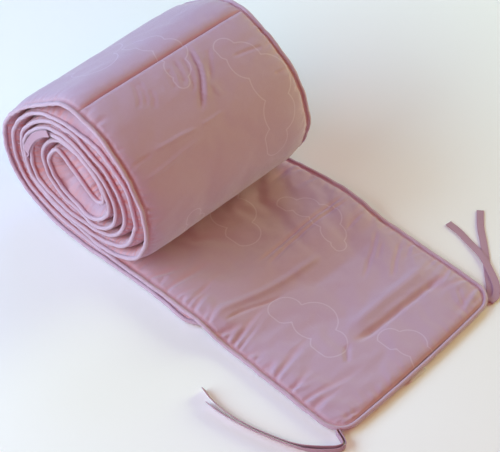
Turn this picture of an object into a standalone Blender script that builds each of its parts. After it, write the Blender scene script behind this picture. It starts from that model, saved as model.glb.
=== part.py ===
"""A padded cot bumper, rolled up from its middle, with one end left lying out as a tongue.

Metres, +Z up. The roll's axis runs along Y. The origin is on the floor under that axis, half-way along the
roll. The free end points to +X and the near end of the roll to -Y.

The band is four padded panels sewn end to end, short, long, short, long, with one piped cord round it all.
Both arms of the band wind clockwise, as seen from the near end, round a flat stretch at the core.
"""

import bpy
import numpy as np

MM = 0.001

# The band, flat: panel half width between the piping cords where it is rolled, its ends and its edges.
ROLLED_HALF_WIDTH = 142.3
CORNER_RADIUS = 26 * MM
END_BOW = 4 * MM
END_BOW_REACH = 80 * MM
FREE_END_SKEW = 4 * MM
SEAM_HALF_THICKNESS = 1.2 * MM
EDGE_CROWN_POWER = 9
END_CROWN_LENGTH = 26 * MM
PIPING_RADIUS = 3.4 * MM
PIPING_SIDES = 6
PIECE_GAP = 0.3 * MM
PIPING_GAP = 0.5 * MM

# The padding's half thickness where nothing presses it, and what neighbouring turns leave between them.
LOOSE_HALF_THICKNESS = 8.5 * MM
CORE_HALF_THICKNESS = 13 * MM
CORE_PAST_MIDDLE_SEAM = (-120 * MM, 280 * MM)
TURN_GAP = 1.5 * MM
FLOOR_PRESS = 1.2 * MM
BEND_SHARE = 0.7

# The roll's axis height, and the middle height of a stretch that lies on the floor.
AXIS_HEIGHT = 125 * MM
FLOOR_ARM_HEIGHT = 6.5 * MM
FLOOR_MARGIN = 0.2 * MM

# Radius of each turn in mm at the hours of a clock, clockwise from the bottom, and the turn's shift along Y.
#    6      7    8    9    10    11    12    1      2      3     4      5     shift
OUTER_ARM = (
    (118.5, 129, 148.5, 141.5, 116.5, 111, 129.5, 131.5, 134, 137, 128, 104, 0),
    (92, 98, 114, 109, 92.5, 85.5, 82, 80, 88, 94, 90, 78.5, 2.5),
    (67, 74, 91, 83, 72, 68, 63, 60.5, 65, 69, 62, 53, -1.5),
)
OUTER_ARM_END = (43, 43, 47, 51, 47.5)
OUTER_END_SHIFT = 1
INNER_ARM = (
    (105.5, 113, 132, 125, 105.5, 95.5, 93, 104, 114.5, 115, 108, 91.5, 1.5),
    (80, 87, 104, 98.5, 83, 76.5, 72.5, 70, 77, 82, 76.5, 66, -1),
)
INNER_ARM_END = (55, 58, 64, 64, 59.5, 57.5, 53)
INNER_END_SHIFT = 2

# The core in mm from the axis, from the middle seam down the flat stretch and back up into the inner arm.
CORE_X_Z = ((-31, 33), (-20, 29), (7, 12), (34, -6), (46, -9), (55, -1), (55, 13), (47, 30), (27, 45))
CORE_SHIFT = 1.5

# Both free stretches in mm, from the end inwards: distance from the axis, height, shift and half width.
TONGUE = ((455, 6.5, 22, 151), (407, 6.5, 22, 151), (340, 6.5, 22, 151), (290, 6.6, 21.5, 151),
          (262, 9, 19.5, 150.5), (244, 14.5, 18, 150), (227, 19, 17.5, 150), (190, 19.5, 17.5, 150.5),
          (120, 19.5, 12, 147.5), (45, 19.5, 4.5, 143.5))
HIDDEN_END = ((220, 6.5, 10.5, 145), (190, 6.5, 10, 145), (120, 6.5, 10, 144.5), (45, 6.5, 3.5, 143),
              (2, 6.5, 1, 142.5))

# How much wider the roll is at its far end, in percent at each hour from twelve, and the height it fades in.
FAR_END_SWELL = (-3.5, -3.5, 1.5, 3, 1, 0, 0, 0, 0, 0, 1.5, 1.5, -3.5)
SWELL_STEP = 0.1
SWELL_FROM, SWELL_FULL = 30 * MM, 70 * MM

# Where the panels meet: the first cross seam by its hour, the last by the long panel's length.
FIRST_SEAM_HOUR = 12.25
HOUR_MARGIN = 0.2
FIRST_SEAM_STRETCH = (0.45, 1.0)
LONG_PANEL = 1.42

# Modelling steps.
PATH_STEP = 2 * MM
SPAN_SAMPLES = 24
HEADING_SPREAD = 2
ROOM_SPREAD = 5
TURN_STEP_SHARE = 0.16
STEP_LIMITS = (9 * MM, 23.5 * MM)
ACROSS = (-1.0, -0.965, -0.86, -0.4, 0.4, 0.86, 0.965, 1.0)
SEAM_STATIONS = (0, 3 * MM, 10 * MM)
END_STATIONS = (0, 1.3 * MM, 5 * MM, 12 * MM)
FIRST_FULL_STATION = 22 * MM
CORNER_STEPS = 5
END_STEPS = 8
CLOSEST_CORD_RINGS = 3.5 * MM
SHARP_EDGE = 50

# A neighbouring turn lies at least this far along the band, and faces within this share of straight on.
NEXT_TURN_AWAY = 35 * MM
NEXT_TURN_FACING = 0.75

# Tape ties, folded in two where they are sewn on.
TAPE_WIDTH = 10.5 * MM
TAPE_THICKNESS = 1.2 * MM
TAPE_STEP = 0.4 * MM
LONGEST_TAPE_STEP = 12 * MM
SHARPEST_TAPE_TURN = 14
FOLD_REACH = 2.5 * MM
FLOOR_GAP = 0.1 * MM

# Each tie's tape in mm from one end to the other. Near: x, y, standing on its edge, and its tails leaning out.
NEAR_TIE = ((293, -199), (314, -203.5), (346, -203.5), (376, -198), (416, -185), (438, -175),
            (451, -166), (463, -155.5), (471.5, -146), (473.5, -138.5), (467, -134.5), (460, -132),
            (455.3, -130.2), (454.6, -127.8), (457.6, -127.2), (461.5, -128.7), (469, -131),
            (476.6, -136.5), (475.8, -146.8), (467, -158.7), (454.5, -169.5), (440.5, -178.5),
            (417.5, -188.2), (376.5, -201.5), (347, -208), (327, -210.5), (311, -210.8))
NEAR_FOLD = 13
NEAR_LEAN = 28
NEAR_LEAN_STARTS, NEAR_LEAN_FULL = 25 * MM, 60 * MM
# Far: x, y and height of the tape's middle, lying flat.
FAR_TIE = ((340, 289.5, 0.7), (361, 264.5, 0.7), (381, 246, 0.7), (407, 220.5, 0.7), (424, 203, 0.7),
           (436, 191.5, 0.7), (444.5, 182, 0.7), (450, 173.8, 0.7), (452.9, 168.9, 0.75),
           (453.6, 167.4, 1.45), (453.4, 169.1, 2.15), (454.4, 174.2, 2.2), (454, 181, 2.2),
           (449.8, 188.6, 2.2), (440, 198.6, 2.2), (419, 212, 2.2), (395, 224.5, 2.1), (366, 232.5, 0.75),
           (345, 237.5, 0.7), (324, 239.5, 0.7))
# Tucked: angle in degrees clockwise from nine o'clock, radius and depth behind the piping's front.
TUCKED_TIE = ((-17, 96, 10), (-11, 93, 6), (-4, 90, -0.8), (5, 85, -1.2), (18, 79.5, -1.2), (33, 75.2, -1.2),
              (47, 73, -1.2), (59, 72, -1.2))
TUCKED_TIE_STEP = 0.5
TUCKED_TIE_TWIST = 5

# The bare label at the free end, sewn under the piping.
LABEL_Y = (-6 * MM, 24 * MM)
LABEL_OUT = 0.8 * MM
LABEL_THICKNESS = 1.0 * MM
LABEL_HEIGHT = 1.8 * MM
LABEL_LENGTH = 9 * MM


def clear_scene():
    for item in list(bpy.data.objects):
        bpy.data.objects.remove(item, do_unlink=True)


def material(name, colour, roughness):
    made = bpy.data.materials.new(name)
    made.use_nodes = True
    shader = made.node_tree.nodes["Principled BSDF"]
    shader.inputs["Base Color"].default_value = (*colour, 1.0)
    shader.inputs["Roughness"].default_value = roughness
    shader.inputs["Metallic"].default_value = 0.0
    return made


def add_object(name, points, faces, finish):
    mesh = bpy.data.meshes.new(name)
    mesh.from_pydata([tuple(p) for p in points], [], faces)
    mesh.materials.append(finish)
    mesh.shade_smooth()
    mesh.set_sharp_from_angle(angle=np.radians(SHARP_EDGE))
    made = bpy.data.objects.new(name, mesh)
    bpy.context.scene.collection.objects.link(made)
    return made


def polar(radius, hour):
    """A point x, z round the roll's axis, in metres, with the hours running clockwise."""
    turn = np.radians(30 * hour)
    return radius * np.sin(turn) * MM, AXIS_HEIGHT + radius * np.cos(turn) * MM


def arm_points(turns, last_turn, last_shift):
    """Control points x, z, shift, half width of one arm from the seven o'clock of its first turn inwards."""
    spots = [(radius, 6 + step, row[12]) for row in turns for step, radius in enumerate(row[:12])][1:]
    spots += [(radius, 6 + step, last_shift) for step, radius in enumerate(last_turn)]
    return [(*polar(radius, hour), shift * MM, ROLLED_HALF_WIDTH * MM) for radius, hour, shift in spots]


def through(points, step):
    """A smooth path through the points, evenly stepped: a centripetal Catmull-Rom curve."""
    points = np.asarray(points, float)
    padded = np.vstack([2 * points[0] - points[1], points, 2 * points[-1] - points[-2]])
    fine = []
    for a, b, c, d in zip(padded, padded[1:], padded[2:], padded[3:]):
        knots = np.cumsum([0.0] + [np.sqrt(np.linalg.norm(q - p)) for p, q in ((a, b), (b, c), (c, d))])
        t = np.linspace(knots[1], knots[2], SPAN_SAMPLES, endpoint=False)[:, None]

        def blend(p, q, low, high):
            return (high - t) / (high - low) * p + (t - low) / (high - low) * q

        first = blend(a, b, knots[0], knots[1])
        second = blend(b, c, knots[1], knots[2])
        third = blend(c, d, knots[2], knots[3])
        fine.append(blend(blend(first, second, knots[0], knots[2]), blend(second, third, knots[1], knots[3]),
                          knots[1], knots[2]))
    fine = np.vstack(fine + [points[-1:]])
    along = np.concatenate([[0.0], np.cumsum(np.linalg.norm(np.diff(fine, axis=0), axis=1))])
    even = np.linspace(0, along[-1], int(round(along[-1] / step)) + 1)
    return np.column_stack([np.interp(even, along, column) for column in fine.T])


def thinned(path, longest, turned):
    """The rows of a finely stepped path that show its bends: by length, or where it has turned this far."""
    ahead = np.gradient(path[:, :3], axis=0)
    ahead /= np.linalg.norm(ahead, axis=1)[:, None]
    kept = [0]
    for row in range(1, len(path) - 1):
        bend = np.degrees(np.arccos(np.clip(ahead[row] @ ahead[kept[-1]], -1, 1)))
        if bend > turned or np.linalg.norm(path[row, :3] - path[kept[-1], :3]) > longest:
            kept.append(row)
    return np.array(kept + [len(path) - 1]), ahead


def smoothed(values, spread):
    """Running mean over this many values on either side."""
    window = 2 * spread + 1
    return np.convolve(np.pad(values, spread, mode="edge"), np.ones(window) / window, mode="valid")


class Band:
    """The band's middle line, from its hidden end through the core to its free end."""

    def __init__(self):
        hidden = [tuple(value * MM for value in row) for row in HIDDEN_END]
        tongue = [tuple(value * MM for value in row) for row in TONGUE]
        outer = arm_points(OUTER_ARM, OUTER_ARM_END, OUTER_END_SHIFT)
        inner = arm_points(INNER_ARM, INNER_ARM_END, INNER_END_SHIFT)
        core = [(x * MM, AXIS_HEIGHT + z * MM, CORE_SHIFT * MM, ROLLED_HALF_WIDTH * MM) for x, z in CORE_X_Z]
        path = through(hidden + outer + core + inner[::-1] + tongue[::-1], PATH_STEP)
        self.x, self.z, self.shift, self.half_width = path.T
        steps = np.hypot(np.diff(self.x), np.diff(self.z))
        self.s = np.concatenate([[0.0], np.cumsum(steps)])
        self.length = self.s[-1]
        turning = np.unwrap(np.arctan2(np.gradient(self.z), np.gradient(self.x)))
        self.heading = smoothed(turning, HEADING_SPREAD)
        self.curvature = np.gradient(self.heading, self.s)
        self.seams = self.find_seams(core[0])
        self.above, self.below = self.room(1), self.room(-1)
        self.swell_hours, self.swell = through(list(enumerate(FAR_END_SWELL)), SWELL_STEP).T

    def find_seams(self, middle):
        """Distances of the cross seams: at its hour on the first turn, at the core, and from the free end."""
        hours = np.degrees(np.arctan2(self.x, self.z - AXIS_HEIGHT)) / 30 % 12
        low, high = FIRST_SEAM_STRETCH
        first_turn = (self.s > low) & (self.s < high) & (np.abs(hours - FIRST_SEAM_HOUR % 12) < HOUR_MARGIN)
        near_middle = np.hypot(self.x - middle[0], self.z - middle[1])
        first = self.s[first_turn].mean()
        return first, self.s[np.argmin(near_middle)], self.length - LONG_PANEL

    def at(self, s):
        """x, z, heading and shift at a distance, straight on past either end."""
        inside = np.clip(s, 0, self.length)
        columns = self.x, self.z, self.heading, self.shift
        x, z, heading, shift = (np.interp(inside, self.s, column) for column in columns)
        past = s - inside
        return x + past * np.cos(heading), z + past * np.sin(heading), heading, shift

    def room(self, side):
        """Half thickness on one side of the middle line: half-way to the next turn, or as padded."""
        centre = np.column_stack([self.x, self.z])
        normal = side * np.column_stack([-np.sin(self.heading), np.cos(self.heading)])
        past_middle = self.s - self.seams[1]
        in_core = (past_middle > CORE_PAST_MIDDLE_SEAM[0]) & (past_middle < CORE_PAST_MIDDLE_SEAM[1])
        free = np.where(in_core, CORE_HALF_THICKNESS, LOOSE_HALF_THICKNESS)
        for i, (point, out) in enumerate(zip(centre, normal)):
            away = centre - point
            distance = np.linalg.norm(away, axis=1)
            other = (np.abs(self.s - self.s[i]) > NEXT_TURN_AWAY) & (away @ out > NEXT_TURN_FACING * distance)
            if other.any():
                free[i] = min(free[i], (distance[other].min() - TURN_GAP) / 2)
        bend = np.maximum(side * self.curvature, 1e-6)
        free = np.minimum(free, BEND_SHARE / bend)
        padded = np.pad(free, ROOM_SPREAD, mode="edge")
        lowest = np.lib.stride_tricks.sliding_window_view(padded, 2 * ROOM_SPREAD + 1).min(axis=1)
        return smoothed(lowest, ROOM_SPREAD)

    def half(self, s):
        """Panel half width at a distance."""
        return np.interp(s, self.s, self.half_width)

    def bow(self, s, y):
        """How far a spot near either end lies out along the band: both are bowed, and the free one is askew."""
        from_end = min(s, self.length - s)
        fade = np.clip(1 - from_end / END_BOW_REACH, 0, 1) ** 2
        across = np.clip(y / self.half(s), -1, 1)
        out = END_BOW * (1 - across**2) * fade
        return out - FREE_END_SKEW * across * fade if s > self.length / 2 else -out

    def point(self, s, y, height):
        """World point at a distance along, across and off the middle line, swollen towards the far end."""
        x, z, heading, shift = self.at(s)
        x, z = x - height * np.sin(heading), z + height * np.cos(heading)
        hour = np.degrees(np.arctan2(x, z - AXIS_HEIGHT)) / 30 % 12
        towards_far_end = np.clip(0.5 + y / (2 * ROLLED_HALF_WIDTH * MM), 0, 1)
        above_floor = np.clip((z - SWELL_FROM) / (SWELL_FULL - SWELL_FROM), 0, 1)
        grown = 1 + np.interp(hour, self.swell_hours, self.swell) / 100 * towards_far_end * above_floor
        return np.array([x * grown, y + shift, AXIS_HEIGHT + (z - AXIS_HEIGHT) * grown])

    def lies_on_floor(self, s, side):
        """Whether that side of the band is pressed flat on the floor here."""
        _, z, heading, _ = self.at(s)
        return side * np.cos(heading) < 0 and z < FLOOR_ARM_HEIGHT + FLOOR_MARGIN


def panel_stations(band, start, end):
    """Distances of a panel's cross sections: close at its seams and ends, by the bend elsewhere."""
    first = END_STATIONS if start <= 0 else SEAM_STATIONS
    last = END_STATIONS if end >= band.length else SEAM_STATIONS
    low, high = start + FIRST_FULL_STATION, end - FIRST_FULL_STATION
    middle = [low]
    while True:
        bend = abs(np.interp(middle[-1], band.s, band.curvature))
        step = np.clip(TURN_STEP_SHARE / max(bend, 1e-6), *STEP_LIMITS)
        if middle[-1] + step > high:
            break
        middle.append(middle[-1] + step)
    middle = np.interp(middle, (low, middle[-1]), (low, high))
    return [start + d for d in first] + list(middle) + [end - d for d in reversed(last)]


def corner_inset(past):
    """How far a rounded corner draws the edge in, at a distance inside the end."""
    short = CORNER_RADIUS - np.clip(past, 0, CORNER_RADIUS)
    return CORNER_RADIUS - np.sqrt(CORNER_RADIUS**2 - short**2)


def section(band, s, start, end):
    """One closed ring round the panel at a distance: over the top, and back underneath."""
    inside = max(min(s - start, end - s), 0.0)
    half = band.half(s) - corner_inset(min(s, band.length - s))
    rise = np.sqrt(1 - (1 - min(inside / END_CROWN_LENGTH, 1.0)) ** 2)
    ring = []
    for side, rooms in ((1, band.above), (-1, band.below)):
        room = np.interp(s, band.s, rooms)
        if band.lies_on_floor(s, side):
            room = FLOOR_ARM_HEIGHT + FLOOR_PRESS
        for v in ACROSS[::side]:
            crown = (1 - abs(v) ** EDGE_CROWN_POWER) ** 0.5 * rise
            height = side * (SEAM_HALF_THICKNESS + (room - SEAM_HALF_THICKNESS) * crown)
            point = band.point(s + band.bow(s, v * half), v * half, height)
            point[2] = max(point[2], 0.0)
            ring.append(point)
    return ring


def ring_faces(rings, per_ring, closed):
    """Quads between rings of points, in rows, with the end caps of an open run."""
    faces = []
    last = rings if closed else rings - 1
    for row in range(last):
        here, after = row * per_ring, (row + 1) % rings * per_ring
        for k in range(per_ring):
            n = (k + 1) % per_ring
            faces.append((here + k, after + k, after + n, here + n))
    if not closed:
        faces.append(tuple(range(per_ring)))
        faces.append(tuple(reversed(range((rings - 1) * per_ring, rings * per_ring))))
    return faces


def add_panel(name, band, start, end, finish):
    """One padded panel between two seams, or between a seam and an end of the band."""
    first = start + (PIECE_GAP / 2 if start > 0 else 0)
    last = end - (PIECE_GAP / 2 if end < band.length else 0)
    stations = panel_stations(band, first, last)
    points = [p for s in stations for p in section(band, s, first, last)]
    faces = ring_faces(len(stations), 2 * len(ACROSS), closed=False)
    return add_object(name, points, faces, finish)


def piping_route(band):
    """The cord's run round the band: distance along and place across, one closed loop."""
    out = PIPING_GAP + PIPING_RADIUS
    radius = CORNER_RADIUS + out
    low, high = -out, band.length + out
    cuts = [0.0, *band.seams, band.length]
    along = [s for start, end in zip(cuts, cuts[1:]) for s in panel_stations(band, start, end)[:-1]]
    along = [s for s in along if low + radius < s < high - radius]
    turn = np.linspace(0, np.pi / 2, CORNER_STEPS + 1)
    across = np.linspace(-1, 1, END_STEPS + 1)[1:-1]
    start_half, end_half = band.half(0) + out, band.half(band.length) + out
    route = [(s, -band.half(s) - out) for s in along]
    route += [(high + radius * (np.sin(a) - 1), -end_half + radius * (1 - np.cos(a))) for a in turn]
    route += [(high, y) for y in across * (end_half - radius)]
    route += [(high + radius * (np.cos(a) - 1), end_half + radius * (np.sin(a) - 1)) for a in turn]
    route += [(s, band.half(s) + out) for s in reversed(along)]
    route += [(low + radius * (1 - np.sin(a)), start_half + radius * (np.cos(a) - 1)) for a in turn]
    route += [(low, y) for y in -across * (start_half - radius)]
    route += [(low + radius * (1 - np.cos(a)), -start_half + radius * (1 - np.sin(a))) for a in turn]
    spaced = route[:1]
    for spot in route[1:]:
        if np.hypot(spot[0] - spaced[-1][0], spot[1] - spaced[-1][1]) > CLOSEST_CORD_RINGS:
            spaced.append(spot)
    return spaced


def add_piping(name, band, finish):
    points = []
    route = piping_route(band)
    for before, (s, y), after in zip(route[-1:] + route, route, route[1:] + route[:1]):
        centre = band.point(s + band.bow(s, y), y, 0.0)
        heading = band.at(s)[2]
        forward = np.array([np.cos(heading), 0.0, np.sin(heading)])
        up = np.array([-np.sin(heading), 0.0, np.cos(heading)])
        ahead = (after[0] - before[0]) * forward + (after[1] - before[1]) * np.array([0.0, 1.0, 0.0])
        side = np.cross(up, ahead / np.linalg.norm(ahead))
        for k in range(PIPING_SIDES):
            turn = 2 * np.pi * (k + 0.5) / PIPING_SIDES
            points.append(centre + PIPING_RADIUS * (np.cos(turn) * side + np.sin(turn) * up))
    faces = [face[::-1] for face in ring_faces(len(route), PIPING_SIDES, closed=True)]
    return add_object(name, points, faces, finish)


def add_tape(name, path, across, finish):
    """A tape along a finely stepped path, with its unit width vector at each step."""
    kept, ahead = thinned(path, LONGEST_TAPE_STEP, SHARPEST_TAPE_TURN)
    thick = (np.cross(ahead, across) * TAPE_THICKNESS / 2)[kept]
    half = across[kept] * TAPE_WIDTH / 2
    centre = path[kept]
    rings = np.stack([centre - half - thick, centre + half - thick, centre + half + thick,
                      centre - half + thick], axis=1)
    faces = [face[::-1] for face in ring_faces(len(kept), 4, closed=False)]
    return add_object(name, rings.reshape(-1, 3), faces, finish)


def add_near_tie(finish):
    """A tape on its lower edge: upright at its fold, its two tails leaning outwards from the band."""
    path = through([(x * MM, y * MM, 0.0) for x, y in NEAR_TIE], TAPE_STEP)
    fold = np.array(NEAR_TIE[NEAR_FOLD]) * MM
    from_fold = np.hypot(*(path[:, :2] - fold).T)
    lean = NEAR_LEAN * np.clip((from_fold - NEAR_LEAN_STARTS) / (NEAR_LEAN_FULL - NEAR_LEAN_STARTS), 0, 1)
    lean = np.radians(lean)
    ahead = np.gradient(path, axis=0)
    outwards = np.column_stack([ahead[:, 1], -ahead[:, 0]]) / np.linalg.norm(ahead, axis=1)[:, None]
    outwards[outwards[:, 1] > 0] *= -1
    across = np.column_stack([outwards * np.sin(lean)[:, None], np.cos(lean)])
    path[:, 2] = FLOOR_GAP + (TAPE_WIDTH * np.cos(lean) + TAPE_THICKNESS * np.sin(lean)) / 2
    return add_tape("tie_near", path, across, finish)


def add_far_tie(finish):
    """A flat tape whose fold, its lowest point in plan, keeps the width direction of the tape beside it."""
    path = through([(x * MM, y * MM, z * MM) for x, y, z in FAR_TIE], TAPE_STEP)
    turned_back = np.argmin(path[:, 1])
    plan = path[:, :2] - path[turned_back, :2]
    ahead = np.gradient(plan, axis=0)
    towards = np.where(np.arange(len(path)) < turned_back, 1, -1)[:, None]
    across = np.column_stack([-ahead[:, 1], ahead[:, 0], np.zeros(len(path))]) * towards
    fold = np.linalg.norm(plan, axis=1) < FOLD_REACH
    across[fold] = across[np.argmax(fold) - 1]
    across /= np.linalg.norm(across, axis=1)[:, None]
    return add_tape("tie_far", path, across, finish)


def add_tucked_tie(finish):
    """A tape tucked between two turns, whose folded end lies flat against the roll's near end."""
    shift = OUTER_ARM[2][12] * MM
    front = -ROLLED_HALF_WIDTH * MM - PIPING_GAP - 2 * PIPING_RADIUS + shift
    angle, radius, depth = through(TUCKED_TIE, TUCKED_TIE_STEP).T
    turn = np.radians(angle)
    out = np.column_stack([-np.cos(turn), 0 * turn, np.sin(turn)])
    lean = np.clip((depth + 1) / TUCKED_TIE_TWIST, 0, 1)[:, None]
    along_axis = np.column_stack([0 * turn, front + depth * MM, 0 * turn + AXIS_HEIGHT])
    path = out * radius[:, None] * MM + along_axis
    across = out * (1 - lean) + np.array([0.0, 1.0, 0.0]) * lean
    return add_tape("tie_tucked", path, across / np.linalg.norm(across, axis=1)[:, None], finish)


def add_label(band, finish):
    """A flat rectangle that reaches out from under the piping of the free end."""
    x_end = band.at(band.length)[0] + END_BOW
    outer = x_end + PIPING_GAP + 2 * PIPING_RADIUS + LABEL_OUT
    inner = outer - LABEL_LENGTH
    corners = [(inner, LABEL_Y[0]), (outer, LABEL_Y[0]), (outer, LABEL_Y[1]), (inner, LABEL_Y[1])]
    points = [(x, y, z) for z in (LABEL_HEIGHT, LABEL_HEIGHT + LABEL_THICKNESS) for x, y in corners]
    faces = [(3, 2, 1, 0), (4, 5, 6, 7)] + [(k, (k + 1) % 4, (k + 1) % 4 + 4, k + 4) for k in range(4)]
    return add_object("label", points, faces, finish)


def main():
    clear_scene()
    cotton = material("cotton_panel", (0.52, 0.34, 0.41), 0.75)
    cotton_piping = material("cotton_piping", (0.55, 0.37, 0.45), 0.7)
    tape = material("cotton_tape", (0.50, 0.32, 0.40), 0.75)
    label_tape = material("label_tape", (0.62, 0.52, 0.62), 0.7)
    band = Band()
    first, middle, last = band.seams
    add_panel("panel_short_outer", band, 0.0, first, cotton)
    add_panel("panel_long_outer", band, first, middle, cotton)
    add_panel("panel_short_inner", band, middle, last, cotton)
    add_panel("panel_long_tongue", band, last, band.length, cotton)
    add_piping("piping", band, cotton_piping)
    add_near_tie(tape)
    add_far_tie(tape)
    add_tucked_tie(tape)
    add_label(band, label_tape)


main()
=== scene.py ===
import logging
import math
from collections.abc import Callable
from dataclasses import dataclass, field
from enum import Enum
from typing import ClassVar

import bpy
import numpy as np
from mathutils import Matrix, Vector


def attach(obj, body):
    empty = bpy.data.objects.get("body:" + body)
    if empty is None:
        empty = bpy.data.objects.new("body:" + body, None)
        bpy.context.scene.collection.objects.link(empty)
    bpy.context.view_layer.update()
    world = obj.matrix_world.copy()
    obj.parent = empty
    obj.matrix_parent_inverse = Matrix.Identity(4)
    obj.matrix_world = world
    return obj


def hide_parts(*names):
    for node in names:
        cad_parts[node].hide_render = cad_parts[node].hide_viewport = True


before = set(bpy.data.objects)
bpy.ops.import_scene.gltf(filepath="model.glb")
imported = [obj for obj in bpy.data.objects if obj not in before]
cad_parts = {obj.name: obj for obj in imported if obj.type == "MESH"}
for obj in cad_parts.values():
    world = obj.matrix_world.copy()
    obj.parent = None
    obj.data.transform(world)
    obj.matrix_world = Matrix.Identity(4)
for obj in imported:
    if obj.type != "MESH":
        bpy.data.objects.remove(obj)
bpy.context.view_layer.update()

LOG = logging.getLogger("cot_bumper")
MM = 0.001


class Face(Enum):
    """The two faces of the band: the printed one above the middle line, the plain one below."""

    PRINTED = 1
    PLAIN = -1


def running_mean(values: np.ndarray, spread: int) -> np.ndarray:
    """Mean over this many values on either side.

    Args:
        values: the row of numbers.
        spread: how many neighbours count on each side.

    Returns:
        The smoothed row, of the same length.
    """
    window = 2 * spread + 1
    return np.convolve(np.pad(values, spread, mode="edge"), np.ones(window) / window, mode="valid")


def bell(gap: np.ndarray, reach: float | np.ndarray = 1.0) -> np.ndarray:
    """A bell curve: 1 at no gap, and 1/e at the reach."""
    return np.exp(-((gap / reach) ** 2))


def eased(share: np.ndarray) -> np.ndarray:
    """A share from 0 to 1 with a soft start and a soft end."""
    return share * share * (3 - 2 * share)


def unit_rows(vectors: np.ndarray) -> np.ndarray:
    """Each row scaled to length 1."""
    return vectors / np.linalg.norm(vectors, axis=1)[:, None]


def run_lengths(path: np.ndarray) -> np.ndarray:
    """Distance along a path at each of its points."""
    return np.concatenate([[0.0], np.cumsum(np.linalg.norm(np.diff(path, axis=0), axis=1))])


def lattice_value(i: np.ndarray, j: np.ndarray, seed: int) -> np.ndarray:
    """A fixed pseudo-random number from -1 to 1 for each whole-number spot.

    Args:
        i: first whole coordinate.
        j: second whole coordinate.
        seed: picks the pattern.

    Returns:
        The numbers, in the shape of i.
    """
    mixed = (i.astype(np.int64) * 374761393 + j.astype(np.int64) * 668265263 + seed * 974634777) & 0x7FFFFFFF
    mixed = ((mixed ^ (mixed >> 13)) * 1274126177) & 0x7FFFFFFF
    return ((mixed ^ (mixed >> 16)) & 0xFFFF) / 32767.5 - 1.0


def cloth_noise(u: np.ndarray, v: np.ndarray, seed: int) -> np.ndarray:
    """Smooth uneven field with bumps about one unit across.

    Args:
        u: first coordinate, in bumps.
        v: second coordinate, in bumps.
        seed: picks the pattern.

    Returns:
        Values from about -1 to 1, in the common shape of u and v.
    """
    u, v = np.broadcast_arrays(u, v)
    i, j = np.floor(u), np.floor(v)
    a, b = u - i, v - j
    a, b = a * a * a * (a * (6 * a - 15) + 10), b * b * b * (b * (6 * b - 15) + 10)
    low = lattice_value(i, j, seed) * (1 - a) + lattice_value(i + 1, j, seed) * a
    high = lattice_value(i, j + 1, seed) * (1 - a) + lattice_value(i + 1, j + 1, seed) * a
    return low * (1 - b) + high * b


def smooth_curve(points: list, step: float, samples: int = 24) -> np.ndarray:
    """A smooth path through the points, evenly stepped: a centripetal Catmull-Rom curve.

    Args:
        points: rows of the path's columns, the first two or three of them a place.
        step: distance from one row of the result to the next.
        samples: fine rows made between two points.

    Returns:
        The path's rows.
    """
    points = np.asarray(points, float)
    padded = np.vstack([2 * points[0] - points[1], points, 2 * points[-1] - points[-2]])
    fine = []
    for a, b, c, d in zip(padded, padded[1:], padded[2:], padded[3:]):
        gaps = [np.sqrt(np.linalg.norm(q - p)) for p, q in ((a, b), (b, c), (c, d))]
        k0, k1, k2, k3 = np.cumsum([0.0] + gaps)
        t = np.linspace(k1, k2, samples, endpoint=False)[:, None]
        ab = (k1 - t) / (k1 - k0) * a + (t - k0) / (k1 - k0) * b
        bc = (k2 - t) / (k2 - k1) * b + (t - k1) / (k2 - k1) * c
        cd = (k3 - t) / (k3 - k2) * c + (t - k2) / (k3 - k2) * d
        abc = (k2 - t) / (k2 - k0) * ab + (t - k0) / (k2 - k0) * bc
        bcd = (k3 - t) / (k3 - k1) * bc + (t - k1) / (k3 - k1) * cd
        fine.append((k2 - t) / (k2 - k1) * abc + (t - k1) / (k2 - k1) * bcd)
    fine = np.vstack(fine + [points[-1:]])
    along = run_lengths(fine)
    even = np.linspace(0, along[-1], int(round(along[-1] / step)) + 1)
    return np.column_stack([np.interp(even, along, column) for column in fine.T])


def in_scene(name: str, data: bpy.types.ID) -> bpy.types.Object:
    """An object at the origin.

    Args:
        name: its name.
        data: its mesh, lamp or camera.

    Returns:
        The object, linked to the scene.
    """
    made = bpy.data.objects.new(name, data)
    bpy.context.scene.collection.objects.link(made)
    return made


def mesh_object(name: str, points: np.ndarray, faces: list, material: bpy.types.Material) -> bpy.types.Object:
    """A smooth-shaded mesh object at the origin.

    Args:
        name: the piece's name.
        points: its vertices in metres.
        faces: its faces, as rows of vertex numbers turned outwards.
        material: its finish.

    Returns:
        The object, linked to the scene.
    """
    mesh = bpy.data.meshes.new(name)
    mesh.from_pydata(np.asarray(points).tolist(), [], faces)
    mesh.materials.append(material)
    mesh.shade_smooth()
    return in_scene(name, mesh)


def set_uv(mesh: bpy.types.Mesh, uv: np.ndarray) -> None:
    """Give every vertex one place on the cloth, in metres, as the UV map "cloth".

    Args:
        mesh: the piece's mesh.
        uv: a row of two numbers for each vertex.
    """
    layer = mesh.uv_layers.new(name="cloth")
    corner = np.empty(len(mesh.loops), np.int32)
    mesh.loops.foreach_get("vertex_index", corner)
    layer.data.foreach_set("uv", uv[corner].astype(np.float32).ravel())


def set_attribute(mesh: bpy.types.Mesh, name: str, values: np.ndarray) -> None:
    """Give every vertex a number that the finish reads.

    Args:
        mesh: the piece's mesh.
        name: the attribute's name.
        values: a number for each vertex.
    """
    made = mesh.attributes.new(name, "FLOAT", "POINT")
    made.data.foreach_set("value", values.astype(np.float32).ravel())


def ring_quads(rings: int, per_ring: int, closed: bool) -> np.ndarray:
    """Quads between closed rings of points that follow each other.

    Args:
        rings: number of rings.
        per_ring: points in each.
        closed: whether the last ring joins the first.

    Returns:
        Rows of four vertex numbers.
    """
    row = np.arange(rings if closed else rings - 1)[:, None] * per_ring
    after = (row + per_ring) % (rings * per_ring)
    k = np.arange(per_ring)[None, :]
    n = (k + 1) % per_ring
    return np.stack([row + k, after + k, after + n, row + n], axis=-1).reshape(-1, 4)


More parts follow.
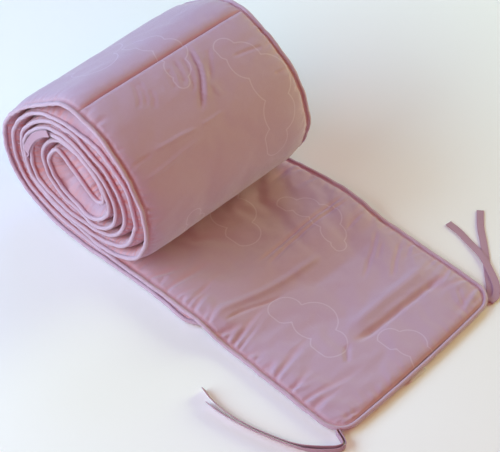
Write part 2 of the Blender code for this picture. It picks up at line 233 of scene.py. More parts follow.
@dataclass
class BandLine:
    """The bumper's band as it is rolled: its middle line, from hidden end through core to free end.

    The arms' tables give radii in mm at a clock's hours from the bottom, clockwise, then a shift along Y.
    The ends' tables give x, z, shift and half width in mm, and the core's table x and z from the roll's axis.
    Waves are rows of height, length, noise row and seed.
    """

    axis_height: float = 0.125
    rolled_half: float = 142.3 * MM
    corner_radius: float = 26 * MM
    end_bow: float = 4 * MM
    free_end_skew: float = 4 * MM
    bow_reach: float = 80 * MM
    # How full the padding is, where it has more room, and what counts as pressed.
    loose_half: float = 8.0 * MM
    core_half: float = 26 * MM
    inner_half: float = 14 * MM
    turn_gap: float = 0.5 * MM
    least_gap: float = 0.1 * MM
    bend_share: float = 0.7
    neighbour_from: float = 35 * MM
    facing: float = 0.75
    core_stretch: tuple = (-0.12, 0.28)
    plain_inner_from: float = 0.14
    printed_inner_from: float = 0.42
    inner_to: float = 0.50
    even_steps: tuple = (5, 12)
    # Where the seam on top of the roll is looked for.
    seam_stretch: tuple = (0.45, 1.0)
    seam_hour: float = 0.25
    hour_slack: float = 0.2
    # The painted reddish glow and shade on the tongue from where the roll rests on it.
    tongue_from: float = 0.52
    glow_lead: float = 8 * MM
    glow_reach: float = 38 * MM
    # How the piped edge waves, and how the roll swells towards its far end above the floor.
    lift_waves: tuple = ((0.8 * MM, 21 * MM, 0.5, 11), (0.5 * MM, 9 * MM, 0.0, 12))
    side_waves: tuple = ((0.7 * MM, 30 * MM, 0.5, 13), (0.3 * MM, 11 * MM, 0.0, 14))
    low_line: float = 30 * MM
    swell_rise: float = 40 * MM
    floor_line: float = 6.7 * MM
    # The path itself.
    outer_arm: tuple = (
        (118.5, 129, 148.5, 141.5, 116.5, 111, 129.5, 131.5, 134, 137, 128, 104, 0),
        (92, 98, 114, 109, 92.5, 85.5, 82, 80, 88, 94, 90, 78.5, 2.5),
        (67, 74, 91, 83, 72, 68, 63, 60.5, 65, 69, 62, 53, -1.5),
    )
    outer_arm_end: tuple = (43, 43, 47, 51, 47.5)
    inner_arm: tuple = (
        (105.5, 113, 132, 125, 105.5, 95.5, 93, 104, 114.5, 115, 108, 91.5, 1.5),
        (80, 87, 104, 98.5, 83, 76.5, 72.5, 70, 77, 82, 76.5, 66, -1),
    )
    inner_arm_end: tuple = (55, 58, 64, 64, 59.5, 57.5, 53)
    core: tuple = ((-31, 33), (-20, 29), (7, 12), (34, -6), (46, -9), (55, -1), (55, 13), (47, 30), (27, 45))
    tongue: tuple = (
        (455, 6.5, 22, 151), (407, 6.5, 22, 151), (340, 6.5, 22, 151), (290, 6.6, 21.5, 151),
        (262, 9, 19.5, 150.5), (244, 14.5, 18, 150), (227, 19, 17.5, 150), (190, 19.5, 17.5, 150.5),
        (120, 19.5, 12, 147.5), (45, 19.5, 4.5, 143.5),
    )
    hidden_end: tuple = (
        (220, 6.5, 10.5, 145), (190, 6.5, 10, 145), (120, 6.5, 10, 144.5), (45, 6.5, 3.5, 143),
        (2, 6.5, 1, 142.5),
    )
    far_end_swell: tuple = (-3.5, -3.5, 1.5, 3, 1, 0, 0, 0, 0, 0, 1.5, 1.5, -3.5)
    long_panel: float = 1.42

    def __post_init__(self) -> None:
        """Lay the middle line through the tables' points."""
        width = self.rolled_half
        rows = [tuple(value * MM for value in row) for row in self.hidden_end]
        rows += self.arm(self.outer_arm, self.outer_arm_end, 1)
        rows += [(x * MM, self.axis_height + z * MM, 1.5 * MM, width) for x, z in self.core]
        rows += self.arm(self.inner_arm, self.inner_arm_end, 2)[::-1]
        rows += [tuple(value * MM for value in row) for row in self.tongue[::-1]]
        path = smooth_curve(rows, 2 * MM)
        self.x, self.z, self.shift, self.half_width = path.T
        self.s = np.concatenate([[0.0], np.cumsum(np.hypot(np.diff(self.x), np.diff(self.z)))])
        self.length = float(self.s[-1])
        self.heading = running_mean(np.unwrap(np.arctan2(np.gradient(self.z), np.gradient(self.x))), 2)
        self.curvature = np.gradient(self.heading, self.s)
        self.seams = self.seam_places()
        self.rooms = {face: self.room(face) for face in Face}
        self.pressed = np.minimum(*(1 - self.rooms[face][1] for face in Face))
        # Painted reddish glow and shade on the tongue, fading out past where the roll rests on it.
        tongue = self.s > self.length - self.tongue_from
        under = tongue & (self.rooms[Face.PRINTED][1] < 0.5)
        past = np.maximum(self.s - self.s[under].max() - self.glow_lead, 0)
        self.glow = bell(past, self.glow_reach) * tongue
        self.swell_hours, self.swell = smooth_curve(list(enumerate(self.far_end_swell)), 0.1).T

    def hours(self, x: np.ndarray, z: np.ndarray) -> np.ndarray:
        """The hours at which places lie round the roll's axis, from 0 at the top."""
        return np.degrees(np.arctan2(x, z - self.axis_height)) / 30 % 12

    def seam_places(self) -> tuple[float, float, float]:
        """Where the three cross seams lie.

        Returns:
            Distances of the seams on top of the roll, in its core, and a long panel from the free end.
        """
        near_top = np.abs(self.hours(self.x, self.z) - self.seam_hour) < self.hour_slack
        on_top = near_top & (self.s > self.seam_stretch[0]) & (self.s < self.seam_stretch[1])
        x, z = self.core[0]
        from_core = np.hypot(self.x - x * MM, self.z - self.axis_height - z * MM)
        top, core = self.s[on_top].mean(), self.s[np.argmin(from_core)]
        return float(top), float(core), self.length - self.long_panel

    def arm(self, turns: tuple, last: tuple, last_shift: float) -> list:
        """Points of one arm of the band from the seven o'clock of its outermost turn inwards.

        Args:
            turns: whole turns, as rows of twelve radii and a shift.
            last: the radii of the innermost part turn.
            last_shift: that part turn's shift.

        Returns:
            Rows of x, z, shift and half width in metres.
        """
        spots = [(radius, 6 + hour, row[12]) for row in turns for hour, radius in enumerate(row[:12])][1:]
        spots += [(radius, 6 + hour, last_shift) for hour, radius in enumerate(last)]
        rows = []
        for radius, hour, shift in spots:
            turn = math.radians(30 * hour)
            rows.append((radius * math.sin(turn) * MM, self.axis_height + radius * math.cos(turn) * MM,
                         shift * MM, self.rolled_half))
        return rows

    def room(self, face: Face) -> tuple[np.ndarray, np.ndarray]:
        """How thick the padding can be on one face of the middle line.

        Args:
            face: which face.

        Returns:
            The half thickness at each step of the line, and from 0 to 1 how free it is of other turns.
        """
        centre = np.column_stack([self.x, self.z])
        normal = face.value * np.column_stack([-np.sin(self.heading), np.cos(self.heading)])
        past = self.s - self.seams[1]
        in_core = (past > self.core_stretch[0]) & (past < self.core_stretch[1])
        inner_from = self.plain_inner_from if face is Face.PLAIN else self.seams[0] + self.printed_inner_from
        inside = (self.s > inner_from) & (self.s < self.length - self.inner_to)
        loose = np.where(in_core, self.core_half, self.loose_half)
        loose = np.where(inside, np.maximum(loose, self.inner_half), loose)
        free = loose.copy()
        for i, (spot, out) in enumerate(zip(centre, normal)):
            away = centre - spot
            distance = np.linalg.norm(away, axis=1)
            other = (np.abs(self.s - self.s[i]) > self.neighbour_from) & (away @ out > self.facing * distance)
            if other.any():
                free[i] = min(free[i], (distance[other].min() - self.turn_gap) / 2)
        pressed = free < loose - self.least_gap
        free = np.minimum(free, self.bend_share / np.maximum(face.value * self.curvature, 1e-6))
        near, wide = self.even_steps
        windows = np.lib.stride_tricks.sliding_window_view(np.pad(free, near, mode="edge"), 2 * near + 1)
        return running_mean(windows.min(axis=1), near), running_mean(1.0 - pressed, wide)

    def at(self, s: np.ndarray) -> tuple[np.ndarray, ...]:
        """Where the middle line runs, straight on past either end.

        Args:
            s: distances along the band.

        Returns:
            x, z, heading and shift at those distances.
        """
        inside = np.clip(s, 0, self.length)
        x, z, heading, shift = (np.interp(inside, self.s, column)
                                for column in (self.x, self.z, self.heading, self.shift))
        past = s - inside
        return x + past * np.cos(heading), z + past * np.sin(heading), heading, shift

    def half(self, s: np.ndarray) -> np.ndarray:
        """Half width between the piping cords at distances."""
        return np.interp(s, self.s, self.half_width)

    def from_end(self, s: np.ndarray) -> np.ndarray:
        """Distance in from the nearer end of the band."""
        return np.maximum(np.minimum(s, self.length - s), 0)

    def bow(self, s: np.ndarray, y: np.ndarray) -> np.ndarray:
        """How far the cloth near either end lies out along the band: both are bowed, the free one is askew.

        Args:
            s: distances along the band.
            y: places across it.

        Returns:
            The distance to add along the band.
        """
        fade = np.clip(1 - np.minimum(s, self.length - s) / self.bow_reach, 0, 1) ** 2
        across = np.clip(y / self.half(s), -1, 1)
        out = self.end_bow * (1 - across**2) * fade
        return np.where(s > self.length / 2, out - self.free_end_skew * across * fade, -out)

    def waviness(self, s: np.ndarray, y: np.ndarray) -> tuple[np.ndarray, np.ndarray]:
        """How the piped edge strays from its line, as sewn cloth does, fading in towards the middle.

        Args:
            s: distances along the band.
            y: places across it.

        Returns:
            The stray off the middle line and the stray along Y, in metres.
        """
        edge = np.clip(np.abs(y) / self.half(s), 0, 1.05) ** 6
        side = np.where(y > 0, 7, 3)
        on_floor = np.interp(s, self.s, (self.z < self.low_line).astype(float))
        lift, along = (
            sum(height * cloth_noise(s / size, side + row, seed) for height, size, row, seed in waves)
            for waves in (self.lift_waves, self.side_waves)
        )
        return lift * edge * (1 - 0.8 * on_floor), along * edge

    def point(self, s: np.ndarray, y: np.ndarray, height: np.ndarray) -> np.ndarray:
        """Places at distances along, across and off the middle line, swollen towards the far end.

        Args:
            s: distances along the band.
            y: places across it.
            height: distances off it, to the printed side.

        Returns:
            Points in metres, with one more axis than the inputs.
        """
        x, z, heading, shift = self.at(s)
        lift, along = self.waviness(s, y)
        x, z = x - (height + lift) * np.sin(heading), z + (height + lift) * np.cos(heading)
        far = np.clip(0.5 + y / (2 * self.rolled_half), 0, 1)
        above = np.clip((z - self.low_line) / self.swell_rise, 0, 1)
        grown = 1 + np.interp(self.hours(x, z), self.swell_hours, self.swell) / 100 * far * above
        return np.stack(np.broadcast_arrays(
            x * grown, y + shift + along, self.axis_height + (z - self.axis_height) * grown), axis=-1)

    def lift(self, s: np.ndarray) -> np.ndarray:
        """Directions square to the band at distances, to the printed side."""
        heading = self.at(s)[2]
        return np.column_stack([-np.sin(heading), np.zeros(len(s)), np.cos(heading)])

    def on_floor(self, s: np.ndarray, face: Face) -> np.ndarray:
        """Whether that face of the band is pressed flat on the floor at distances."""
        _, z, heading, _ = self.at(s)
        return (face.value * np.cos(heading) < 0) & (z < self.floor_line)


@dataclass
class Crease:
    """A crease given in one face, in mm: a soft trough where its depth is negative, or else a ridge."""

    path: tuple
    depth: float
    width: float
    fade: float = 0.2
    cut_off: float = 3.2

    def height(self, s: np.ndarray, y: np.ndarray) -> np.ndarray:
        """Height that the crease adds at places of the cloth.

        Args:
            s: distances along the band in metres.
            y: places across it in metres.

        Returns:
            Heights in metres.
        """
        path = smooth_curve([(a * MM, b * MM) for a, b in self.path], 1.5 * MM)
        share = np.linspace(0, 1, len(path))
        strength = eased(np.clip(np.minimum(share, 1 - share) / self.fade, 0, 1))
        reach = self.cut_off * self.width * MM
        low, high = path.min(axis=0) - reach, path.max(axis=0) + reach
        near = (s > low[0]) & (s < high[0]) & (y > low[1]) & (y < high[1])
        out = np.zeros(s.shape)
        if near.any():
            apart = np.hypot(s[near][:, None] - path[:, 0], y[near][:, None] - path[:, 1])
            closest = apart.argmin(axis=1)
            gap = apart[np.arange(len(closest)), closest] / (self.width * MM)
            out[near] = self.depth * MM * strength[closest] * bell(gap)
        return out


@dataclass
class CreaseTable:
    """The creases that show, each as depth and width in mm and a path: mm along and mm across.

    Along is measured in from the free end on the tongue, and on from the first seam on the roll's front.
    """

    tongue: tuple = (
        (-1.9, 3.2, ((253, 147), (254, 87), (252, 27), (248, -42))),
        (1.0, 2.4, ((249, 140), (251, 90), (248, 27), (244, -20))),
        (-1.6, 2.2, ((244, 147), (247, 97), (244, 27), (239, -12), (234, -32))),
        (-1.0, 2.2, ((218, 142), (215, 112), (210, 97))),
        (1.8, 4.6, ((205, 47), (207, 7), (210, -32), (216, -72), (226, -112), (230, -142))),
        (-1.3, 2.2, ((192, -42), (198, -67), (210, -102), (215, -132))),
        (-1.5, 9.8, ((175, 117), (174, 47), (177, -22))),
        (-1.2, 2.6, ((187, 132), (170, 107), (150, 72), (135, 47))),
        (-0.8, 1.9, ((165, 117), (145, 87))),
        (-1.2, 2.6, ((150, 137), (125, 97), (110, 77))),
        (3.2, 8.2, ((92, 137), (93, 47), (91, -32))),
        (-3.4, 4.5, ((68, 139), (70, 57), (73, -22), (79, -42))),
        (-1.6, 2.6, ((80, -46), (65, -62), (57, -70))),
        (-1.0, 2.2, ((40, 127), (25, 117), (10, 107))),
    )
    front: tuple = (
        (0.9, 2.6, ((118, -133), (116, -89), (113, -59), (112, -24))),
        (0.8, 2.6, ((93, -100), (95, -78), (97, -48), (100, -26))),
        (0.6, 2.2, ((99, -23), (100, -4), (100, 19))),
        (-0.6, 2.2, ((95, -135), (95, -103))),
        (-0.8, 2, ((8, -61), (22, -66), (36, -75), (43, -83))),
        (-0.8, 2, ((9, -54), (22, -58), (36, -64), (46, -73))),
        (-0.7, 2, ((28, -50), (41, -55), (53, -65))),
        (-0.8, 2, ((18, -10), (38, -18), (48, -20))),
        (-0.9, 2, ((9, 8), (32, 0), (50, -7))),
        (-0.9, 2.1, ((10, 19), (39, 11), (53, 3), (64, -8))),
        (-1.3, 2.4, ((8, 34), (38, 25), (52, 17), (64, 7), (76, -2), (88, -14))),
        (1.1, 2.5, ((8, 41), (38, 32), (54, 23), (68, 13), (82, 2))),
        (-0.8, 2, ((22, 57), (50, 37), (62, 27))),
        (0.6, 2, ((61, 25), (84, 28))),
        (-0.6, 2.2, ((51, 75), (55, 102), (61, 125))),
        (-0.6, 2.2, ((98, 113), (101, 139))),
    )
    sharp_width: float = 5.0
    sharp_scale: float = 1.8
    broad_scale: float = 1.15
    front_scale: float = 2.2

    def tongue_depth(self, depth: float, width: float) -> float:
        """Depth of a crease of the tongue: a sharp one is drawn deeper than a broad one."""
        return depth * (self.sharp_scale if width < self.sharp_width else self.broad_scale)

    def on(self, band: BandLine) -> list:
        """The creases placed on the band.

        Args:
            band: the band's middle line.

        Returns:
            A list of Crease.
        """
        free_end, seam = band.length / MM, band.seams[0] / MM
        placed = [Crease(tuple((free_end - a, b) for a, b in path), self.tongue_depth(depth, width), width)
                  for depth, width, path in self.tongue]
        placed += [Crease(tuple((seam + a, b) for a, b in path), self.front_scale * depth, width)
                   for depth, width, path in self.front]
        return placed


@dataclass
class GatheredSheet:
    """A stretch of the printed face as cloth: held at its seams, a little too large, and left to buckle.

    The growths are shares of its size, in the open and at the seams. The start waves are a height, a length
    along, a length across and a seed, and give the cloth a first unevenness to buckle from.
    """

    start: float
    end: float
    fades: tuple = (False, False)
    half: float = 0.150
    step: float = 3.4 * MM
    seam_growth: float = 0.06
    growth: float = 0.008
    reach: float = 35 * MM
    hold: float = 0.02
    pressure: float = 0.5
    bending: float = 1.0
    frames: int = 22
    fold_size: float = 28 * MM
    fold_share: float = 0.5
    growth_levels: int = 20
    seam_line: float = 0.1 * MM
    seed_rise: float = 6 * MM
    start_waves: tuple = (0.3 * MM, 11 * MM, 13 * MM, 5)
    start_rise: float = 10 * MM
    fade_reach: float = 40 * MM

    @staticmethod
    def blurred(grid: np.ndarray, spread: float) -> np.ndarray:
        """The grid softened by a bell curve.

        Args:
            grid: heights by row and column.
            spread: the bell's width in grid steps.

        Returns:
            The softened heights.
        """
        reach = int(3 * spread) + 1
        weights = np.exp(-0.5 * (np.arange(-reach, reach + 1) / spread) ** 2)
        weights /= weights.sum()
        for axis in (0, 1):
            pad = [(0, 0), (0, 0)]
            pad[axis] = (reach, reach)
            padded = np.pad(grid, pad, mode="reflect", reflect_type="odd")
            grid = np.apply_along_axis(np.convolve, axis, padded, weights, mode="valid")
        return grid

    def settle(self, relief: Callable[[np.ndarray, np.ndarray], np.ndarray]) -> None:
        """Run the cloth from the set relief and keep the folds that it takes.

        Args:
            relief: gives the set relief at distances along and across, in metres.
        """
        s = np.linspace(self.start, self.end, int(round((self.end - self.start) / self.step)) + 1)
        y = np.linspace(-self.half, self.half, int(round(2 * self.half / self.step)) + 1)
        along, across = np.meshgrid(s, y, indexing="ij")
        inside = np.minimum(self.half - np.abs(across), np.minimum(along - self.start, self.end - along))
        seed = relief(along, across) * np.clip(inside / self.seed_rise, 0, 1)
        height, long, wide, pattern = self.start_waves
        tiny = height * cloth_noise(along / long, across / wide, pattern)
        tiny = tiny * np.clip(inside / self.start_rise, 0, 1)
        index = np.arange(along.size).reshape(along.shape)
        quads = np.stack([index[:-1, :-1], index[1:, :-1], index[1:, 1:], index[:-1, 1:]], axis=-1)
        mesh = bpy.data.meshes.new("gathered_sheet")
        mesh.from_pydata(np.stack([along, across, seed + tiny], axis=-1).reshape(-1, 3).tolist(), [],
                         quads.reshape(-1, 4).tolist())
        sheet = in_scene("gathered_sheet", mesh)
        self.hold_seams(sheet, inside.ravel())
        self.make_cloth(sheet)
        for frame_number in range(1, self.frames + 1):
            bpy.context.scene.frame_set(frame_number)
        settled = sheet.evaluated_get(bpy.context.evaluated_depsgraph_get()).data
        places = np.empty(3 * along.size, np.float32)
        settled.vertices.foreach_get("co", places)
        bpy.data.objects.remove(sheet, do_unlink=True)
        bpy.data.meshes.remove(mesh)
        bpy.context.scene.frame_set(1)
        height = places.reshape(*along.shape, 3)[..., 2].astype(float)
        broad = self.fold_size / self.step
        taken = self.fold_share * height + (1 - self.fold_share) * seed
        self.folds = taken - self.blurred(taken, broad) + self.blurred(seed, broad)

    def hold_seams(self, sheet: bpy.types.Object, inside: np.ndarray) -> None:
        """Pin the sheet along its edge, hold the rest a little, and let it grow most beside the edge.

        Args:
            sheet: the sheet before it is cloth.
            inside: each vertex's distance in from the edge.
        """
        held = sheet.vertex_groups.new(name="held")
        loose = sheet.vertex_groups.new(name="loose")
        seam = inside < self.seam_line
        held.add(np.flatnonzero(seam).tolist(), 1.0, "REPLACE")
        held.add(np.flatnonzero(~seam).tolist(), self.hold, "REPLACE")
        growth = np.round(self.growth_levels * bell(inside, self.reach))
        for level in range(self.growth_levels + 1):
            loose.add(np.flatnonzero(growth == level).tolist(), level / self.growth_levels, "REPLACE")

    def make_cloth(self, sheet: bpy.types.Object) -> None:
        """Give the sheet the rules of a light cotton over wadding.

        Args:
            sheet: the sheet with its vertex groups.
        """
        cloth = sheet.modifiers.new("cloth", "CLOTH")
        cloth.collision_settings.use_collision = False
        cloth.point_cache.frame_start, cloth.point_cache.frame_end = 1, self.frames
        rules = cloth.settings
        rules.quality, rules.mass, rules.air_damping = 6, 0.15, 2.0
        rules.tension_stiffness = rules.compression_stiffness = 25.0
        rules.shear_stiffness, rules.bending_stiffness = 10.0, self.bending
        rules.tension_damping = rules.compression_damping = rules.shear_damping = 8.0
        rules.bending_damping, rules.effector_weights.gravity = 0.8, 0.0
        rules.vertex_group_mass, rules.pin_stiffness = "held", 1.0
        rules.vertex_group_shrink = "loose"
        rules.shrink_min, rules.shrink_max = -self.growth, -self.seam_growth
        rules.use_pressure, rules.uniform_pressure_force = True, self.pressure

    def height(self, s: np.ndarray, y: np.ndarray) -> tuple[np.ndarray, np.ndarray]:
        """The settled folds at places of the cloth, and how far they count there.

        Args:
            s: distances along the band.
            y: places across it.

        Returns:
            Heights in metres, and shares from 0 to 1.
        """
        rows, columns = self.folds.shape
        u = np.clip((s - self.start) / self.step, 0, rows - 1.001)
        v = np.clip((y + self.half) / self.step, 0, columns - 1.001)
        i, j = np.floor(u).astype(int), np.floor(v).astype(int)
        total = np.zeros(s.shape)
        for di, a in enumerate(self.bell_weights(u - i)):
            for dj, b in enumerate(self.bell_weights(v - j)):
                row, column = np.clip(i + di - 1, 0, rows - 1), np.clip(j + dj - 1, 0, columns - 1)
                total += a * b * self.folds[row, column]
        start_reach, end_reach = (self.fade_reach if fades else 1 * MM for fades in self.fades)
        share = np.clip((s - self.start) / start_reach, 0, 1) * np.clip((self.end - s) / end_reach, 0, 1)
        return total, eased(share)

    @staticmethod
    def bell_weights(t: np.ndarray) -> tuple[np.ndarray, ...]:
        """The four weights of a cubic B-spline at a share of the way between two grid lines."""
        inner = (3 * t**3 - 6 * t**2 + 4) / 6, (-3 * t**3 + 3 * t**2 + 3 * t + 1) / 6
        return (1 - t) ** 3 / 6, *inner, t**3 / 6


@dataclass(frozen=True)
class Gathers:
    """Sharp puckers that a sewn edge draws, square to it, each uneven in place, slant, reach and depth.

    The reach runs from least to greatest. Other pairs are a least value and what a draw up to 1 adds to it.
    """

    spacing: float
    depth: float
    reach: tuple
    width: float
    seed: int = 50
    places: tuple = (0.15, 0.7)
    slants: tuple = (-0.35, 0.9)
    widths: tuple = (0.7, 0.5)
    depths: tuple = (0.35, 0.75)
    spread: float = 0.8
    ridge: float = 0.5
    ridge_gap: float = 1.7

    def height(self, along: np.ndarray, inward: np.ndarray, side: np.ndarray) -> np.ndarray:
        """Height that the puckers add.

        Args:
            along: distances along the edge.
            inward: distances in from it.
            side: whole numbers that tell the edges apart.

        Returns:
            Heights in metres, mostly troughs with a low ridge beside each.
        """
        along, inward, side = np.broadcast_arrays(along, inward, side)
        cell = np.floor(along / self.spacing)
        total = np.zeros(along.shape)
        for step in (-1, 0, 1):
            here = cell + step
            first, size, lean, deep = (0.5 + 0.5 * lattice_value(here, side, self.seed + n) for n in range(4))
            reach = self.reach[0] + (self.reach[1] - self.reach[0]) * size**2
            place, slant, width, depth = (
                least + more * draw for (least, more), draw in
                ((self.places, first), (self.slants, lean), (self.widths, deep), (self.depths, deep))
            )
            centre = (here + place) * self.spacing + slant * inward
            gap = (along - centre) / (self.width * width * (1 + self.spread * inward / reach))
            trough = self.ridge * bell(gap - self.ridge_gap) - bell(gap)
            total += self.depth * depth * trough * bell(inward, reach)
        return total


@dataclass
class Wrinkles:
    """The relief of the padded cloth: puckers that the edge seams draw, loose wrinkles and set creases.

    Numbers tell the edges, ends and seams apart in the noise. Pairs are a distance and a run to fade in over.
    """

    band: BandLine
    creases: list = field(default_factory=list)
    sheets: list = field(default_factory=list)
    edge_gathers: Gathers = Gathers(13.5 * MM, 3.0 * MM, (14 * MM, 56 * MM), 2.7 * MM)
    rolled_gathers: Gathers = Gathers(6.5 * MM, 1.9 * MM, (5 * MM, 14 * MM), 1.8 * MM, 54)
    inner_gathers: Gathers = Gathers(7.5 * MM, 2.0 * MM, (6 * MM, 16 * MM), 1.7 * MM, 58)
    end_gathers: Gathers = Gathers(7.5 * MM, 2.1 * MM, (7 * MM, 22 * MM), 2.0 * MM, 62)
    seam_gathers: Gathers = Gathers(9.0 * MM, 0.6 * MM, (5 * MM, 18 * MM), 2.0 * MM, 66)
    sharp_width: float = CreaseTable.sharp_width
    seam_number: int = 80
    end_number: int = 70
    far_share: float = 0.55
    tongue_from: tuple = (0.50, 0.06)
    inner_from: tuple = (0.36, 0.08)
    edge_softness: float = 1.6 * MM
    pressed_share: float = 0.2
    edge_pucker: float = 0.6 * MM
    seam_pucker: float = 0.4 * MM
    tight_bend: float = 12.0
    calm_reach: float = 30 * MM
    long_wrinkle: float = 0.22 * MM
    fine_wrinkle: float = 0.10 * MM

    @staticmethod
    def edge_number(y: np.ndarray, face: Face) -> np.ndarray:
        """A whole number that tells the near and far edge of either face apart."""
        return np.where(y > 0, 40, 10) + 5 * (face is Face.PLAIN)

    def settle(self) -> None:
        """Let each gathered sheet take its folds, starting from the set relief."""
        for sheet in self.sheets:
            sheet.settle(lambda s, y: self.set_relief(s, y, self.band.half(s), Face.PRINTED))

    def puckers(self, s: np.ndarray, from_edge: np.ndarray, side: int) -> np.ndarray:
        """Short puckers square to a piped edge, uneven in place, depth and reach.

        Args:
            s: distances along the edge.
            from_edge: distances in from it.
            side: a number that tells this edge from the others.

        Returns:
            Heights from about -1 to 1.
        """
        slant = s + 0.25 * from_edge * cloth_noise(s / 0.05, side, 21)
        reach = 5 * MM + 15 * MM * np.clip(cloth_noise(slant / 0.012, side + 0.5, 22) + 0.25, 0, 1) ** 1.5
        fine = cloth_noise(slant / 0.0052, side + 0.5, 23)
        broad = cloth_noise(slant / 0.0115, side + 0.5, 24)
        return (0.45 * fine + 0.75 * broad) * bell(from_edge, reach)

    def height(self, s: np.ndarray, y: np.ndarray, half: np.ndarray, face: Face) -> np.ndarray:
        """Relief of the finished cloth at places of one face.

        Args:
            s: distances along the band.
            y: places across it.
            half: half width there.
            face: which face.

        Returns:
            Heights in metres, outwards.
        """
        relief = self.set_relief(s, y, half, face)
        if face is Face.PRINTED:
            for sheet in self.sheets:
                near = (s > sheet.start) & (s < sheet.end)
                if near.any():
                    folds, share = sheet.height(s[near], y[near])
                    relief[near] += share * (folds - relief[near])
            relief += self.sharp(s, y)
        relief += self.drawn(s, y, half, face)
        edge = np.maximum(half - np.abs(y), 0)
        free = np.interp(s, self.band.s, self.band.rooms[face][1])
        soft = 1 - bell(np.minimum(edge, self.band.from_end(s)), self.edge_softness)
        raised = relief * (self.pressed_share + (1 - self.pressed_share) * free)
        return np.where(relief > 0, raised, relief) * soft

    def sharp(self, s: np.ndarray, y: np.ndarray) -> np.ndarray:
        """Relief of the sharp creases of the printed face.

        Args:
            s: distances along the band.
            y: places across it.

        Returns:
            Heights in metres.
        """
        return sum((crease.height(s, y) for crease in self.creases if crease.width < self.sharp_width),
                   np.zeros(np.broadcast(s, y).shape))

    def drawn(self, s: np.ndarray, y: np.ndarray, half: np.ndarray, face: Face) -> np.ndarray:
        """Puckers that the seams draw: long on the tongue, short on the roll and deep in its turns.

        Args:
            s: distances along the band.
            y: places across it.
            half: half width there.
            face: which face.

        Returns:
            Heights in metres.
        """
        band = self.band
        edge = np.maximum(half - np.abs(y), 0)
        side = self.edge_number(y, face)
        tongue = np.clip((s - band.length + self.tongue_from[0]) / self.tongue_from[1], 0, 1)
        inner = np.clip((s - band.seams[0] - self.inner_from[0]) / self.inner_from[1], 0, 1) * (1 - tongue)
        relief = tongue * self.edge_gathers.height(s, edge, side) * np.where(y > 0, self.far_share, 1.0)
        relief += inner * self.inner_gathers.height(s, edge, side)
        relief += (1 - tongue - inner) * self.rolled_gathers.height(s, edge, side)
        relief += self.end_gathers.height(y, band.from_end(s), side)
        for n, seam in enumerate(band.seams):
            relief += self.seam_gathers.height(y, np.abs(s - seam), self.seam_number + 3 * n + (s >= seam))
        return relief

    def set_relief(self, s: np.ndarray, y: np.ndarray, half: np.ndarray, face: Face) -> np.ndarray:
        """Relief that is listed and set by rule at places of one face, but for its sharp creases.

        Args:
            s: distances along the band.
            y: places across it.
            half: half width there.
            face: which face.

        Returns:
            Heights in metres, outwards.
        """
        band = self.band
        edge = np.maximum(half - np.abs(y), 0)
        free = np.interp(s, band.s, band.rooms[face][1])
        bend = np.interp(s, band.s, band.curvature) * face.value
        tight = 1 + 0.5 * np.clip(bend / self.tight_bend, 0, 1.5)
        relief = self.edge_pucker * tight * self.puckers(s, edge, self.edge_number(y, face))
        relief += self.seam_pucker * self.puckers(y, band.from_end(s), self.end_number)
        for n, seam in enumerate(band.seams):
            number = self.seam_number + 3 * n + (s < seam)
            relief += self.seam_pucker * self.puckers(y, np.abs(s - seam), number)
        calm = 1 - bell(edge, self.calm_reach)
        long = cloth_noise(s / 0.032 + 0.4 * y / 0.1, y / 0.13, 31 + face.value)
        fine = cloth_noise(s / 0.012 + 0.7 * y / 0.05, y / 0.045, 33 + face.value)
        relief += free * calm * (self.long_wrinkle * long + self.fine_wrinkle * fine)
        if face is Face.PRINTED:
            for crease in self.creases:
                if crease.width >= self.sharp_width:
                    relief += crease.height(s, y)
        return relief


@dataclass
class CloudPrint:
    """The printed outlines: plain rounded clouds of three forms, laid out by a rule along the band."""

    spacing: float = 0.118
    rows: tuple = (0.070, -0.066, 0.008)
    scale: float = 1.75
    forms: tuple = (
        ((-34, 2, 19), (-10, 17, 24), (20, 12, 21), (41, -1, 15)),
        ((-24, 0, 15), (0, 9, 19), (25, 0, 14)),
        ((-40, -2, 13), (-20, 9, 17), (7, 15, 20), (30, 4, 16), (46, -4, 10)),
    )
    sizes: tuple = (1.0, 0.62, 0.9, 0.5)
    base: float = -13 * MM
    reach: float = 20 * MM
    first: float = 0.45
    sway: float = 12 * MM
    sway_pace: float = 2.3

    def distance(self, s: np.ndarray, y: np.ndarray, length: float) -> np.ndarray:
        """Distance to the nearest cloud outline, negative inside a cloud.

        Args:
            s: distances along the band.
            y: places across it.
            length: the band's length.

        Returns:
            Distances in metres, no larger than the reach.
        """
        nearest = np.full(s.shape, self.reach)
        for n in range(int(length / self.spacing) + 1):
            form = self.forms[(n * 2 + n // 3) % 3]
            size = self.scale * self.sizes[n % 4] * (1 if n % 2 else -1)
            a = (s - self.spacing * (n + self.first)) / size
            b = (y - self.rows[n % 3] - self.sway * math.sin(self.sway_pace * n)) / abs(size)
            lobes = np.full(s.shape, 1.0)
            for u, v, radius in form:
                lobes = np.minimum(lobes, np.hypot(a - u * MM, b - v * MM) - radius * MM)
            cloud = np.maximum(lobes, self.base - b) * abs(size)
            nearest = np.where(np.abs(cloud) < np.abs(nearest), cloud, nearest)
        return np.clip(nearest, -self.reach, self.reach)


